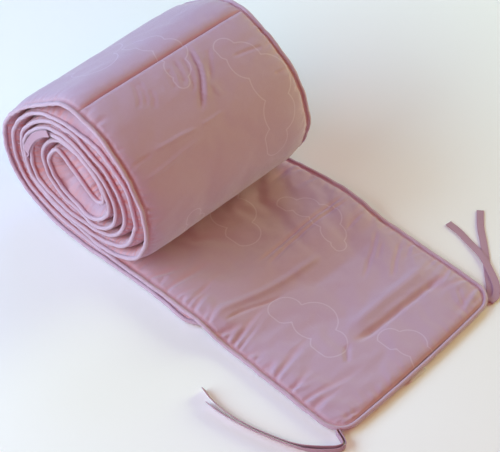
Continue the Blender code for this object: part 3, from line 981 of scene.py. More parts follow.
@dataclass
class PaddedPanel:
    """One padded panel of the band, between two cross seams or a seam and an end.

    Fold values, from 0 to 1, say how deep in a fold, a seam or a pressed gap between turns the cloth lies, or
    how near it is to where the roll rests on the tongue, and mix a painted reddish shade and glow into its
    colour.
    Edge powers are for free and for pressed cloth. Crowns are how far the padding takes to rise at either
    end. Counts are places across the printed and the plain face. Seam steps are a least step and its growth
    inwards.
    """

    name: str
    band: BandLine
    wrinkles: Wrinkles
    cloud_print: CloudPrint
    start: float
    end: float
    seen: tuple
    fine_step: float = 1.7 * MM
    plain_step: float = 2.0 * MM
    tuck: float = 1.3 * MM
    seam_half: float = 1.0 * MM
    edge_powers: tuple = (8.0, 17.0)
    edge_margin: float = 2.6 * MM
    seam_margin: float = 1.2 * MM
    wall_bulge: float = 1.8 * MM
    wall_pucker: float = 2.2
    wall_reach: float = 9 * MM
    # Painted reddish glow in the shade on the tongue beside the roll.
    contact_glow: float = 0.45
    crowns: tuple = (12 * MM, 12 * MM)
    end_power: float = 2.4
    counts: tuple = (97, 35)
    across_power: float = 1.32
    seam_steps: tuple = (0.7 * MM, 0.16)
    floor_room: float = 7.7 * MM
    rim: float = 3.0
    seam_reach: float = 3.2 * MM
    # Painted reddish shade and glow, mixed into the colour: in the grooves by the seams and piping, on the
    # walls pressed between turns, and in pucker and crease troughs.
    seam_painted_shade: tuple = (0.20, 0.30)
    wall_painted_shade: tuple = (0.75, 0.5)
    wall_from: tuple = (0.6, 0.35)
    pucker_painted_shade: float = 0.16
    pucker_depth: float = 1.5 * MM
    crease_painted_shade: float = 0.12
    crease_depth: float = 1.6 * MM

    def stations(self) -> np.ndarray:
        """Distances of the cross sections: close where the panel shows, and closer at its seams.

        Returns:
            The distances, from the panel's start to its end.
        """
        spots = [self.start]
        while spots[-1] < self.end:
            s = spots[-1]
            from_seam = min(s - self.start, self.end - s)
            step = self.fine_step if self.seen[0] <= s <= self.seen[1] else self.plain_step
            spots.append(s + min(step, self.seam_steps[0] + self.seam_steps[1] * max(from_seam, 0)))
        spots = np.array(spots)
        return self.start + (spots - self.start) * (self.end - self.start) / (spots[-1] - self.start)

    def across(self, count: int) -> np.ndarray:
        """Places across from -1 to 1, closer together towards the edges."""
        t = np.linspace(-1, 1, count)
        return np.sign(t) * (1 - (1 - np.abs(t)) ** self.across_power)

    def half_width(self, s: np.ndarray) -> np.ndarray:
        """Half width of the cross sections, drawn in where the band's corners are round.

        Args:
            s: distances of the sections.

        Returns:
            The half widths, as a column.
        """
        corner = self.band.corner_radius
        past = np.minimum(self.band.from_end(s), corner)
        return (self.band.half(s) - corner + np.sqrt(corner**2 - (corner - past) ** 2))[:, None]

    def crown(self, face: Face, s: np.ndarray, y: np.ndarray) -> tuple[np.ndarray, np.ndarray]:
        """How far the padding fills out: none at piping and seams, fuller and squarer where turns press.

        Args:
            face: which face.
            s: distances of its rows.
            y: places across it.

        Returns:
            The share of the full thickness everywhere, and the share that the cross seams leave to each row.
        """
        free = np.interp(s, self.band.s, self.band.rooms[face][1])[:, None]
        into = np.minimum((s - self.start - self.seam_margin) / self.crowns[0],
                          (self.end - s - self.seam_margin) / self.crowns[1])
        rise = (1 - (1 - np.clip(into, 0, 1)) ** self.end_power)[:, None] ** 0.5
        power = self.edge_powers[0] * free + self.edge_powers[1] * (1 - free)
        out = np.clip(np.abs(y) / (self.half_width(s) - self.edge_margin * free), 0, 1)
        return (1 - out**power) ** 0.5 * rise, rise

    def surface(self, face: Face, s: np.ndarray, v: np.ndarray) -> tuple[np.ndarray, np.ndarray, np.ndarray]:
        """One face's points.

        Args:
            face: which face.
            s: distances of its rows.
            v: places across, from -1 to 1.

        Returns:
            Points in metres, by row and place across, their places on the flat cloth, and their painted shade
            and glow values.
        """
        band, wrinkles = self.band, self.wrinkles
        rows = np.broadcast_to(s[:, None], (len(s), len(v)))
        half = self.half_width(s)
        y = v[None, :] * (half + self.tuck)
        edge = np.maximum(half - np.abs(y), 0)
        room, free = (np.interp(s, band.s, column)[:, None] for column in band.rooms[face])
        crown, rise = self.crown(face, s, y)
        resting = band.on_floor(s, face)[:, None]
        relief = wrinkles.height(rows, y, np.broadcast_to(half, rows.shape), face)
        relief = relief * np.where(resting, 0.0, rise) * np.minimum(1, self.rim * crown)
        height = self.seam_half + (np.where(resting, self.floor_room, room) - self.seam_half) * crown + relief
        puckered = wrinkles.inner_gathers.height(rows, edge, wrinkles.edge_number(y, face))
        bulge = (self.wall_bulge + self.wall_pucker * puckered) * (1 - free) * crown
        bulge = np.sign(y) * bulge * bell(edge, self.wall_reach)
        off = face.value * np.maximum(height, self.seam_half)
        points = band.point(rows + band.bow(rows, y), y + bulge, off)
        points[..., 2] = np.maximum(points[..., 2], 0.0)
        # Painted reddish shade and glow: each point's share by how deep it lies in a seam groove, a pressed
        # gap between turns or a pucker or crease trough.
        seam = np.minimum(s - self.start, self.end - s)[:, None]
        at_seam = bell(np.minimum(edge, seam), self.seam_reach)
        fold = (self.seam_painted_shade[0] + self.seam_painted_shade[1] * free) * at_seam
        walls = self.wall_painted_shade[0] * np.clip((crown - self.wall_from[0]) / self.wall_from[1], 0, 1)
        fold = fold + (1 - free) * (walls + self.wall_painted_shade[1] * np.clip(-puckered / MM, 0, 1))
        drawn = wrinkles.drawn(rows, y, half, face)
        fold = fold + self.pucker_painted_shade * np.clip(-drawn / self.pucker_depth, 0, 1)
        if face is Face.PRINTED:
            fold = fold + self.crease_painted_shade * np.clip(-wrinkles.sharp(rows, y) / self.crease_depth, 0, 1)
            # Painted reddish glow and shade on the tongue beside where the roll rests on it.
            fold = fold + self.contact_glow * np.interp(s, band.s, band.glow)[:, None]
        return points, np.stack([rows, y], axis=-1), np.clip(fold, 0, 1)

    def build(self, material: bpy.types.Material) -> bpy.types.Object:
        """Make the panel's closed mesh, with its cloth map and the distance to the print's outlines.

        Args:
            material: the panel's cotton.

        Returns:
            The piece.
        """
        s = self.stations()
        top_v, under_v = self.across(self.counts[0]), self.across(self.counts[1])[::-1]
        top, top_map, top_painted_shade = self.surface(Face.PRINTED, s, top_v)
        under, under_map, under_painted_shade = self.surface(Face.PLAIN, s, under_v)
        points = np.concatenate([top, under], axis=1)
        cloth = np.concatenate([top_map, under_map + np.array([0.0, 0.5])], axis=1)
        rings, per_ring = points.shape[:2]
        faces = ring_quads(rings, per_ring, closed=False).tolist()
        faces.append(list(range(per_ring)))
        faces.append(list(range(rings * per_ring - 1, (rings - 1) * per_ring - 1, -1)))
        piece = mesh_object(self.name, points.reshape(-1, 3), faces, material)
        printed = np.full((rings, per_ring), self.cloud_print.reach)
        along, across = np.moveaxis(top_map, -1, 0)
        printed[:, :len(top_v)] = self.cloud_print.distance(along, across, self.band.length)
        set_attribute(piece.data, "outline_distance", printed)
        # The painted shade and glow values go to the finish as an attribute.
        set_attribute(piece.data, "in_fold", np.concatenate([top_painted_shade, under_painted_shade], axis=1))
        set_uv(piece.data, cloth.reshape(-1, 2))
        return piece


@dataclass
class EdgeCord:
    """The piped cord round the whole band."""

    name: str
    band: BandLine
    radius: float = 2.9 * MM
    out: float = 3.6 * MM
    step: float = 3.0 * MM
    sides: int = 12
    ripple: float = 0.22 * MM
    ripple_size: tuple = (6 * MM, 1.5)
    corner_steps: int = 13
    floor_gap: float = 0.15 * MM
    # Where the painted shade and glow on the cord's inner side begins, and the run it grows over.
    painted_shade_from: float = 0.45
    painted_shade_over: float = 0.9

    def route(self) -> np.ndarray:
        """The cord's run as one closed loop: near edge, free end, far edge, hidden end.

        Returns:
            Rows of distance along the band and place across it.
        """
        band, out = self.band, self.out
        radius = band.corner_radius + out
        low, high = -out, band.length + out
        hidden, free = float(band.half(0)) + out - radius, float(band.half(band.length)) + out - radius
        first, last = low + radius, high - radius
        along = np.linspace(first, last, int((last - first) / self.step) + 1)
        across = np.linspace(-1, 1, int(2 * free / self.step) + 1)
        edges = ((along, -band.half(along) - out), (np.full(len(across), high), across * free),
                 (along[::-1], band.half(along[::-1]) + out), (np.full(len(across), low), -across * hidden))
        corners = ((last, -free), (last, free), (first, hidden), (first, -hidden))
        quarter = np.pi / 2 * np.linspace(0, 1, self.corner_steps + 2)[1:-1]
        runs = []
        for n, (edge, (x, y)) in enumerate(zip(edges, corners)):
            turn = quarter + (n - 1) * np.pi / 2
            corner = np.column_stack([x + radius * np.cos(turn), y + radius * np.sin(turn)])
            runs += [np.column_stack(edge), corner]
        return np.vstack(runs)

    def build(self, material: bpy.types.Material) -> bpy.types.Object:
        """Sweep the cord's round section along its run.

        Args:
            material: the piping's cotton.

        Returns:
            The piece.
        """
        route = self.route()
        s, y = route.T
        centre = self.band.point(s + self.band.bow(s, y), y, np.zeros(len(s)))
        centre[:, 2] = np.maximum(centre[:, 2], self.radius + self.floor_gap)
        ahead = unit_rows(np.roll(centre, -1, axis=0) - np.roll(centre, 1, axis=0))
        side = unit_rows(np.cross(self.band.lift(s), ahead))
        up = np.cross(ahead, side)
        along = run_lengths(centre)
        turn = 2 * np.pi * np.arange(self.sides) / self.sides
        ripple = cloth_noise(along[:, None] / self.ripple_size[0], turn[None, :] / self.ripple_size[1], 41)
        radius = self.radius + self.ripple * ripple
        points = (centre[:, None, :] + radius[..., None] * (np.cos(turn)[None, :, None] * side[:, None, :]
                                                            + np.sin(turn)[None, :, None] * up[:, None, :]))
        faces = ring_quads(len(centre), self.sides, closed=True)[:, ::-1].tolist()
        piece = mesh_object(self.name, points.reshape(-1, 3), faces, material)
        cloth = np.stack(np.broadcast_arrays(along[:, None], (turn * self.radius)[None, :]), axis=-1)
        set_uv(piece.data, cloth.reshape(-1, 2))
        # Painted reddish shade and glow on the cord's inner side, where the turns press together.
        outward = (points[..., 1] - centre[:, None, 1]) * np.sign(y)[:, None] / self.radius
        pressed = np.interp(s, self.band.s, self.band.pressed)[:, None]
        inner = np.clip((self.painted_shade_from - outward) / self.painted_shade_over, 0, 1)
        set_attribute(piece.data, "in_fold", inner * pressed)
        return piece


@dataclass
class StitchRow:
    """Rows of small thread stitches along given lines, laid by Geometry Nodes."""

    name: str
    pitch: float = 3.0 * MM
    length: float = 2.2 * MM
    thread: float = 0.5 * MM
    seed: int = 3
    tree_name: ClassVar[str] = "stitch_row"
    sizes: ClassVar[tuple] = (0.85, 1.12)
    bead_sides: ClassVar[tuple] = (6, 5)

    @classmethod
    def tree(cls) -> bpy.types.NodeTree:
        """The node tree that strings stitches along lines, with its sizes as named inputs, built once.

        Returns:
            The tree.
        """
        if cls.tree_name in bpy.data.node_groups:
            return bpy.data.node_groups[cls.tree_name]
        tree = bpy.data.node_groups.new(cls.tree_name, "GeometryNodeTree")
        tree.interface.new_socket("Lines", in_out="INPUT", socket_type="NodeSocketGeometry")
        for label in ("Pitch", "Stitch length", "Thread width"):
            tree.interface.new_socket(label, in_out="INPUT", socket_type="NodeSocketFloat")
        tree.interface.new_socket("Seed", in_out="INPUT", socket_type="NodeSocketInt")
        tree.interface.new_socket("Thread", in_out="INPUT", socket_type="NodeSocketMaterial")
        tree.interface.new_socket("Stitches", in_out="OUTPUT", socket_type="NodeSocketGeometry")
        sheet = NodeSheet(tree)
        given, result = sheet.add("NodeGroupInput").outputs, sheet.add("NodeGroupOutput").inputs
        line = sheet.add("GeometryNodeMeshToCurve", {"Mesh": given["Lines"]})
        even = sheet.add("GeometryNodeResampleCurve", {"Curve": line.outputs[0], "Length": given["Pitch"]},
                         mode="LENGTH")
        ahead = sheet.add("GeometryNodeInputTangent").outputs[0]
        lift = sheet.add("GeometryNodeInputNamedAttribute", {"Name": "lift"}, data_type="FLOAT_VECTOR")
        aimed = sheet.add("FunctionNodeAlignRotationToVector", {"Vector": ahead}, axis="X")
        turned = sheet.add("FunctionNodeAlignRotationToVector",
                           {"Rotation": aimed.outputs[0], "Vector": lift.outputs[0]},
                           axis="Z", pivot_axis="X")
        segments, rings = cls.bead_sides
        bead = sheet.add("GeometryNodeMeshUVSphere", {"Segments": segments, "Rings": rings, "Radius": 0.5})
        length, width = given["Stitch length"], given["Thread width"]
        size = sheet.add("ShaderNodeCombineXYZ", {"X": length, "Y": width, "Z": width})
        least, most = cls.sizes
        uneven = sheet.add("FunctionNodeRandomValue", {2: least, 3: most, "Seed": given["Seed"]},
                           data_type="FLOAT")
        scaled = sheet.add("ShaderNodeVectorMath", {0: size.outputs[0], "Scale": uneven.outputs[1]},
                           operation="SCALE")
        laid = sheet.add("GeometryNodeInstanceOnPoints", {
            "Points": even.outputs[0], "Instance": bead.outputs["Mesh"], "Rotation": turned.outputs[0],
            "Scale": scaled.outputs[0]})
        real = sheet.add("GeometryNodeRealizeInstances", {0: laid.outputs[0]})
        smooth = sheet.add("GeometryNodeSetShadeSmooth", {0: real.outputs[0]})
        dressed = sheet.add("GeometryNodeSetMaterial", {0: smooth.outputs[0], "Material": given["Thread"]})
        sheet.wire(dressed.outputs[0], result[0])
        return tree

    def build(self, lines: list, material: bpy.types.Material) -> bpy.types.Object:
        """Sew the rows and keep them as one plain mesh.

        Args:
            lines: pairs of a row's points and the directions square to the cloth there.
            material: the thread's finish.

        Returns:
            The piece.
        """
        counts = np.cumsum([0] + [len(points) for points, _ in lines])
        edges = [(k, k + 1) for a, b in zip(counts, counts[1:]) for k in range(a, b - 1)]
        mesh = bpy.data.meshes.new(self.name)
        mesh.from_pydata(np.vstack([points for points, _ in lines]).tolist(), edges, [])
        lift = mesh.attributes.new("lift", "FLOAT_VECTOR", "POINT")
        lift.data.foreach_set("vector", np.vstack([up for _, up in lines]).astype(np.float32).ravel())
        piece = in_scene(self.name, mesh)
        rows = piece.modifiers.new("stitches", "NODES")
        rows.node_group = self.tree()
        names = {item.name: item.identifier for item in rows.node_group.interface.items_tree
                 if item.item_type == "SOCKET" and item.in_out == "INPUT"}
        values = {"Pitch": self.pitch, "Stitch length": self.length, "Thread width": self.thread,
                  "Seed": self.seed, "Thread": material}
        for label, value in values.items():
            rows[names[label]] = value
        sewn = bpy.data.meshes.new_from_object(piece.evaluated_get(bpy.context.evaluated_depsgraph_get()))
        piece.modifiers.clear()
        piece.data = sewn
        bpy.data.meshes.remove(mesh)
        sewn.name = self.name
        return piece


@dataclass
class BandSeams:
    """Where the panels' seam stitches show: beside the piping and across the band."""

    band: BandLine
    inset: float = 0.9 * MM
    above: float = 1.25 * MM
    roll_shows: tuple = (0.24, 1.08)
    tongue_shows: float = 0.47
    seam_points: int = 90

    def lines(self) -> list:
        """The rows of stitches: beside the piping where it shows, and across the seam on top of the roll.

        Returns:
            Pairs of a row's points and the directions square to the cloth there.
        """
        band = self.band
        s, y = EdgeCord("seam_line", band, out=-self.inset).route().T
        seen = np.flatnonzero(((s > self.roll_shows[0]) & (s < self.roll_shows[1]))
                              | (s > band.length - self.tongue_shows))
        rows = [(s[run], y[run]) for run in np.split(seen, np.flatnonzero(np.diff(seen) > 1) + 1)]
        seam = np.full(self.seam_points, band.seams[0])
        rows.append((seam, np.linspace(-1, 1, self.seam_points) * (band.half(seam) - self.inset)))
        sewn = []
        for along, over in rows:
            points = band.point(along + band.bow(along, over), over, np.full(len(along), self.above))
            sewn.append((points, band.lift(along)))
        return sewn


@dataclass
class TapeTie:
    """A folded tape tie: a soft rounded strip along a path, with a row of stitches along one edge."""

    name: str
    width: float = 10.5 * MM
    thickness: float = 1.2 * MM
    step: float = 1.5 * MM
    stitch_inset: float = 1.7 * MM
    stitch_lift: float = 0.3 * MM
    bare_ends: int = 3
    edge_points: tuple = ((0.25 * MM, 0.8), (0.9 * MM, 1.0))
    middle_share: float = 0.85

    def section(self) -> list:
        """The tape's flat rounded section, from one edge round its underside.

        Returns:
            Pairs of a place across and a height off the middle.
        """
        w, t = self.width / 2, self.thickness / 2
        left = [(-w + inset, -share * t) for inset, share in self.edge_points]
        left.append((-w / 3, -self.middle_share * t))
        lower = left + [(-u, v) for u, v in reversed(left)]
        return [(-w, 0)] + lower + [(w, 0)] + [(u, -v) for u, v in reversed(lower)]

    def sweep(self, path: np.ndarray, across: np.ndarray, material: bpy.types.Material) -> bpy.types.Object:
        """Sweep the tape's section along a path, and note its length and where its stitches go.

        Args:
            path: the tape's middle, evenly stepped.
            across: its unit width vector at each step.
            material: its cotton.

        Returns:
            The piece.
        """
        ahead = unit_rows(np.gradient(path, axis=0))
        across = unit_rows(across - (across * ahead).sum(axis=1)[:, None] * ahead)
        thick = np.cross(ahead, across)
        section = self.section()
        count = len(section)
        rings = np.stack([path + u * across + v * thick for u, v in section], axis=1)
        faces = ring_quads(len(path), count, closed=False)[:, ::-1].tolist()
        faces.append(list(reversed(range(count))))
        faces.append(list(range((len(path) - 1) * count, len(path) * count)))
        piece = mesh_object(self.name, rings.reshape(-1, 3), faces, material)
        along = run_lengths(path)
        flat = np.array([u for u, _ in section])
        cloth = np.stack(np.broadcast_arrays(along[:, None], flat[None, :]), axis=-1)
        set_uv(piece.data, cloth.reshape(-1, 2))
        self.length = float(along[-1])
        row = path + (self.width / 2 - self.stitch_inset) * across
        keep = slice(self.bare_ends, -self.bare_ends)
        self.stitch_lines = [((row + side * self.thickness / 2 * thick)[keep], side * thick[keep])
                             for side in (-1, 1)]
        for points, _ in self.stitch_lines:
            points[:, 2] = np.maximum(points[:, 2], self.stitch_lift)
        return piece


@dataclass
class NearTie(TapeTie):
    """The near tie: standing on its lower edge at its fold, its two tails leaning out from the band."""

    route: tuple = (
        (293, -199), (314, -203.5), (346, -203.5), (376, -198), (416, -185), (438, -175),
        (451, -166), (463, -155.5), (471.5, -146), (473.5, -138.5), (467, -134.5), (460, -132),
        (455.3, -130.2), (454.6, -127.8), (457.6, -127.2), (461.5, -128.7), (469, -131),
        (476.6, -136.5), (475.8, -146.8), (467, -158.7), (454.5, -169.5), (440.5, -178.5),
        (417.5, -188.2), (376.5, -201.5), (347, -208), (327, -210.5), (311, -210.8),
    )
    fold: int = 13
    lean: float = 28.0
    lean_starts: float = 25 * MM
    lean_full: float = 60 * MM
    floor_gap: float = 0.1 * MM

    def build(self, material: bpy.types.Material) -> bpy.types.Object:
        """Lay the tape and make its mesh.

        Args:
            material: its cotton.

        Returns:
            The piece.
        """
        path = smooth_curve([(x * MM, y * MM, 0.0) for x, y in self.route], self.step / 3)
        fold = np.array(self.route[self.fold]) * MM
        from_fold = np.hypot(*(path[:, :2] - fold).T)
        share = np.clip((from_fold - self.lean_starts) / (self.lean_full - self.lean_starts), 0, 1)
        lean = np.radians(self.lean * share)
        ahead = np.gradient(path, axis=0)
        out = unit_rows(np.column_stack([ahead[:, 1], -ahead[:, 0]]))
        out[out[:, 1] > 0] *= -1
        across = np.column_stack([out * np.sin(lean)[:, None], np.cos(lean)])
        path[:, 2] = self.floor_gap + (self.width * np.cos(lean) + self.thickness * np.sin(lean)) / 2
        return self.sweep(path[::3], across[::3], material)


@dataclass
class FarTie(TapeTie):
    """The far tie: lying flat, one tail over the other near its fold."""

    route: tuple = (
        (340, 289.5, 0.7), (361, 264.5, 0.7), (381, 246, 0.7), (407, 220.5, 0.7), (424, 203, 0.7),
        (436, 191.5, 0.7), (444.5, 182, 0.7), (450, 173.8, 0.7), (452.9, 168.9, 0.75),
        (453.6, 167.4, 1.45), (453.4, 169.1, 2.15), (454.4, 174.2, 2.2), (454, 181, 2.2),
        (449.8, 188.6, 2.2), (440, 198.6, 2.2), (419, 212, 2.2), (395, 224.5, 2.1), (366, 232.5, 0.75),
        (345, 237.5, 0.7), (324, 239.5, 0.7),
    )
    fold_reach: float = 2.5 * MM
    fine_step: float = 0.4 * MM
    keep_every: int = 4

    def build(self, material: bpy.types.Material) -> bpy.types.Object:
        """Lay the tape and make its mesh.

        Args:
            material: its cotton.

        Returns:
            The piece.
        """
        path = smooth_curve([(x * MM, y * MM, z * MM) for x, y, z in self.route], self.fine_step)
        back = int(np.argmin(path[:, 1]))
        plan = path[:, :2] - path[back, :2]
        ahead = np.gradient(plan, axis=0)
        towards = np.where(np.arange(len(path)) < back, 1, -1)[:, None]
        across = np.column_stack([-ahead[:, 1], ahead[:, 0], np.zeros(len(path))]) * towards
        fold = np.linalg.norm(plan, axis=1) < self.fold_reach
        across[fold] = across[np.argmax(fold) - 1]
        kept = np.unique([*range(0, len(path), self.keep_every), *np.flatnonzero(fold), len(path) - 1])
        return self.sweep(path[kept], unit_rows(across)[kept], material)


@dataclass
class TuckedTie(TapeTie):
    """A tie tucked between two turns, its folded end flat against the roll's near end.

    Its route gives degrees round the roll's axis from the left, a radius and a depth into the roll, in mm.
    """

    front: float = -151.1 * MM
    axis_height: float = BandLine.axis_height
    route: tuple = ((-17, 96, 10), (-11, 93, 6), (-4, 90, -0.8), (5, 85, -1.2), (18, 79.5, -1.2),
                    (33, 75.2, -1.2), (47, 73, -1.2), (59, 72, -1.2))
    twist: float = 5.0

    def build(self, material: bpy.types.Material) -> bpy.types.Object:
        """Lay the tape and make its mesh.

        Args:
            material: its cotton.

        Returns:
            The piece.
        """
        angle, radius, depth = smooth_curve(self.route, 0.5).T
        turn = np.radians(angle)
        out = np.column_stack([-np.cos(turn), 0 * turn, np.sin(turn)])
        lean = np.clip((depth + 1) / self.twist, 0, 1)[:, None]
        axis = np.column_stack([0 * turn, self.front + depth * MM, 0 * turn + self.axis_height])
        path = out * radius[:, None] * MM + axis
        across = out * (1 - lean) + np.array([0.0, 1.0, 0.0]) * lean
        return self.sweep(path, across, material)


@dataclass
class EndLabel:
    """The bare ribbon label under the piping of the free end: one strip folded in two, its fold outwards."""

    name: str
    band: BandLine
    y_range: tuple = (-6 * MM, 24 * MM)
    out: float = 1.8 * MM
    past_cord: float = 7.3 * MM
    ribbon: float = 0.42 * MM
    bend: float = 0.28 * MM
    flattened: float = 0.2 * MM
    middle: float = 2.3 * MM
    length: float = 9 * MM
    wave: float = 0.12 * MM
    wave_size: float = 5 * MM

    def build(self, material: bpy.types.Material) -> bpy.types.Object:
        """Fold the ribbon and make its mesh.

        Args:
            material: its satin.

        Returns:
            The piece.
        """
        bend, middle = self.bend, self.middle
        outer = float(self.band.at(self.band.length)[0]) + self.band.end_bow + self.past_cord + self.out
        flat = np.linspace(outer - self.length, outer - bend, 7)[:-1]
        lower = [(x, middle - bend) for x in flat]
        fold = [(outer - bend - self.flattened + bend * np.cos(turn), middle + bend * np.sin(turn))
                for turn in np.linspace(-np.pi / 2, np.pi / 2, 9)]
        centre = np.array(lower + fold + [(x, middle + bend) for x in flat[::-1]])
        ahead = unit_rows(np.gradient(centre, axis=0))
        normal = np.column_stack([-ahead[:, 1], ahead[:, 0]]) * self.ribbon / 2
        ring = np.vstack([centre + normal, (centre - normal)[::-1]])
        rows = np.linspace(*self.y_range, 16)
        waves = self.wave * np.sin(rows / self.wave_size)
        points = np.stack([np.column_stack([ring[:, 0], np.full(len(ring), y), ring[:, 1] + wave])
                           for y, wave in zip(rows, waves)])
        faces = ring_quads(len(rows), len(ring), closed=False).tolist()
        count = len(ring)
        for row, flip in ((0, 1), (len(rows) - 1, -1)):
            for k in range(count // 2 - 1):
                quad = [row * count + n for n in (k, k + 1, count - 2 - k, count - 1 - k)]
                faces.append(quad[::flip])
        piece = mesh_object(self.name, points.reshape(-1, 3), faces, material)
        cloth = np.stack(np.broadcast_arrays(rows[:, None], run_lengths(ring)[None, :]), axis=-1)
        set_uv(piece.data, cloth.reshape(-1, 2))
        return piece


class NodeSheet:
    """A short way to add and wire nodes of one tree."""

    def __init__(self, tree: bpy.types.NodeTree) -> None:
        """Keep the tree."""
        self.tree = tree

    def add(self, kind: str, inputs: dict | None = None, **settings: object) -> bpy.types.Node:
        """Add a node, set it up and feed it.

        Args:
            kind: the node's type.
            inputs: values or sockets by input name or number.
            **settings: properties of the node.

        Returns:
            The node.
        """
        node = self.tree.nodes.new(kind)
        for key, value in settings.items():
            setattr(node, key, value)
        for key, value in (inputs or {}).items():
            if isinstance(value, bpy.types.NodeSocket):
                self.tree.links.new(value, node.inputs[key])
            else:
                node.inputs[key].default_value = value
        return node

    def wire(self, source: bpy.types.NodeSocket, target: bpy.types.NodeSocket) -> None:
        """Join an output to an input."""
        self.tree.links.new(source, target)

    def mix(self, share: object, colour: bpy.types.NodeSocket, other: object) -> bpy.types.NodeSocket:
        """A colour mixed with another.

        Args:
            share: how much of the other.
            colour: the one colour's socket.
            other: the other colour's socket or values.

        Returns:
            The output socket.
        """
        values = {0: share, 6: colour, 7: other}
        return self.add("ShaderNodeMix", values, data_type="RGBA").outputs[2]

    def noise(self, place: bpy.types.NodeSocket, scale: object, detail: float,
              roughness: float = 0.5) -> bpy.types.NodeSocket:
        """A Noise Texture node's value.

        Args:
            place: the socket of its coordinates.
            scale: its scale.
            detail: its detail.
            roughness: its roughness.

        Returns:
            The output socket.
        """
        values = {"Vector": place, "Scale": scale, "Detail": detail, "Roughness": roughness}
        return self.add("ShaderNodeTexNoise", values).outputs[0]

    def maths(self, operation: str, *values: object) -> bpy.types.NodeSocket:
        """A Math node's result.

        Args:
            operation: its operation.
            *values: its inputs, in order.

        Returns:
            The output socket.
        """
        return self.add("ShaderNodeMath", dict(enumerate(values)), operation=operation).outputs[0]


class ClothGroups:
    """Shader node groups that the cottons share."""

    def __init__(self) -> None:
        """Build each group once."""
        self.weave = self.plain_weave()
        self.tone = self.uneven_tone()

    @staticmethod
    def group(name: str, inputs: tuple, outputs: tuple) -> tuple[NodeSheet, object, object]:
        """An empty shader group with its sockets.

        Args:
            name: the group's name.
            inputs: rows of socket name, type and value.
            outputs: rows of socket name and type.

        Returns:
            The sheet of its tree, the sockets that it is given and the sockets of its results.
        """
        tree = bpy.data.node_groups.new(name, "ShaderNodeTree")
        for label, kind, value in inputs:
            socket = tree.interface.new_socket(label, in_out="INPUT", socket_type=kind)
            if value is not None:
                socket.default_value = value
        for label, kind in outputs:
            tree.interface.new_socket(label, in_out="OUTPUT", socket_type=kind)
        sheet = NodeSheet(tree)
        return sheet, sheet.add("NodeGroupInput").outputs, sheet.add("NodeGroupOutput").inputs

    def plain_weave(self) -> bpy.types.NodeTree:
        """Threads over and under each other: their height, and how deep the gaps between them lie.

        Returns:
            The group's tree.
        """
        sheet, given, result = self.group(
            "plain_weave",
            (("Cloth", "NodeSocketVector", None), ("Threads per metre", "NodeSocketFloat", 2600.0),
             ("Slub", "NodeSocketFloat", 0.3)),
            (("Height", "NodeSocketFloat"), ("Gap", "NodeSocketFloat")),
        )
        slub = sheet.noise(given["Cloth"], 140.0, 2.0)
        uneven = sheet.maths("MULTIPLY", slub, given["Slub"])
        moved = sheet.add("ShaderNodeVectorMath", {0: given["Cloth"], "Scale": given["Threads per metre"]},
                          operation="SCALE")
        parts = sheet.add("ShaderNodeSeparateXYZ", {0: moved.outputs[0]})
        waves = []
        for own, other in ((0, 1), (1, 0)):
            turn = sheet.maths("MULTIPLY", parts.outputs[own], math.pi)
            thread = sheet.maths("ABSOLUTE", sheet.maths("SINE", turn))
            own_count, other_count = (sheet.maths("FLOOR", parts.outputs[n]) for n in (own, other))
            phase = sheet.maths("MULTIPLY", sheet.maths("ADD", own_count, other_count), math.pi)
            over = sheet.maths("COSINE", sheet.maths("ADD", phase, math.pi * own))
            waves.append(sheet.maths("MULTIPLY_ADD", over, 0.25, sheet.maths("MULTIPLY", thread, 0.6)))
        high = sheet.maths("MAXIMUM", *waves)
        height = sheet.maths("ADD", high, uneven)
        sheet.wire(height, result["Height"])
        sheet.wire(sheet.maths("SUBTRACT", 1.0, high), result["Gap"])
        return sheet.tree

    def uneven_tone(self) -> bpy.types.NodeTree:
        """Uneven dye and slight wear: a colour a little lighter and darker over the cloth.

        Returns:
            The group's tree.
        """
        sheet, given, result = self.group(
            "uneven_tone",
            (("Place", "NodeSocketVector", None), ("Colour", "NodeSocketColor", (0.8, 0.6, 0.65, 1.0)),
             ("Deeper", "NodeSocketColor", (0.7, 0.5, 0.55, 1.0)), ("Patch size", "NodeSocketFloat", 14.0),
             ("Amount", "NodeSocketFloat", 0.5)),
            (("Colour", "NodeSocketColor"), ("Mask", "NodeSocketFloat")),
        )
        broad = sheet.noise(given["Place"], given["Patch size"], 5.0, 0.6)
        fine = sheet.noise(given["Place"], 420.0, 3.0)
        mask = sheet.maths("MULTIPLY_ADD", fine, 0.35, sheet.maths("MULTIPLY", broad, 0.75))
        spread = sheet.add("ShaderNodeMapRange", {0: mask, 1: 0.35, 2: 0.75})
        share = sheet.maths("MULTIPLY", spread.outputs[0], given["Amount"])
        sheet.wire(sheet.mix(share, given["Colour"], given["Deeper"]), result["Colour"])
        sheet.wire(spread.outputs[0], result["Mask"])
        return sheet.tree


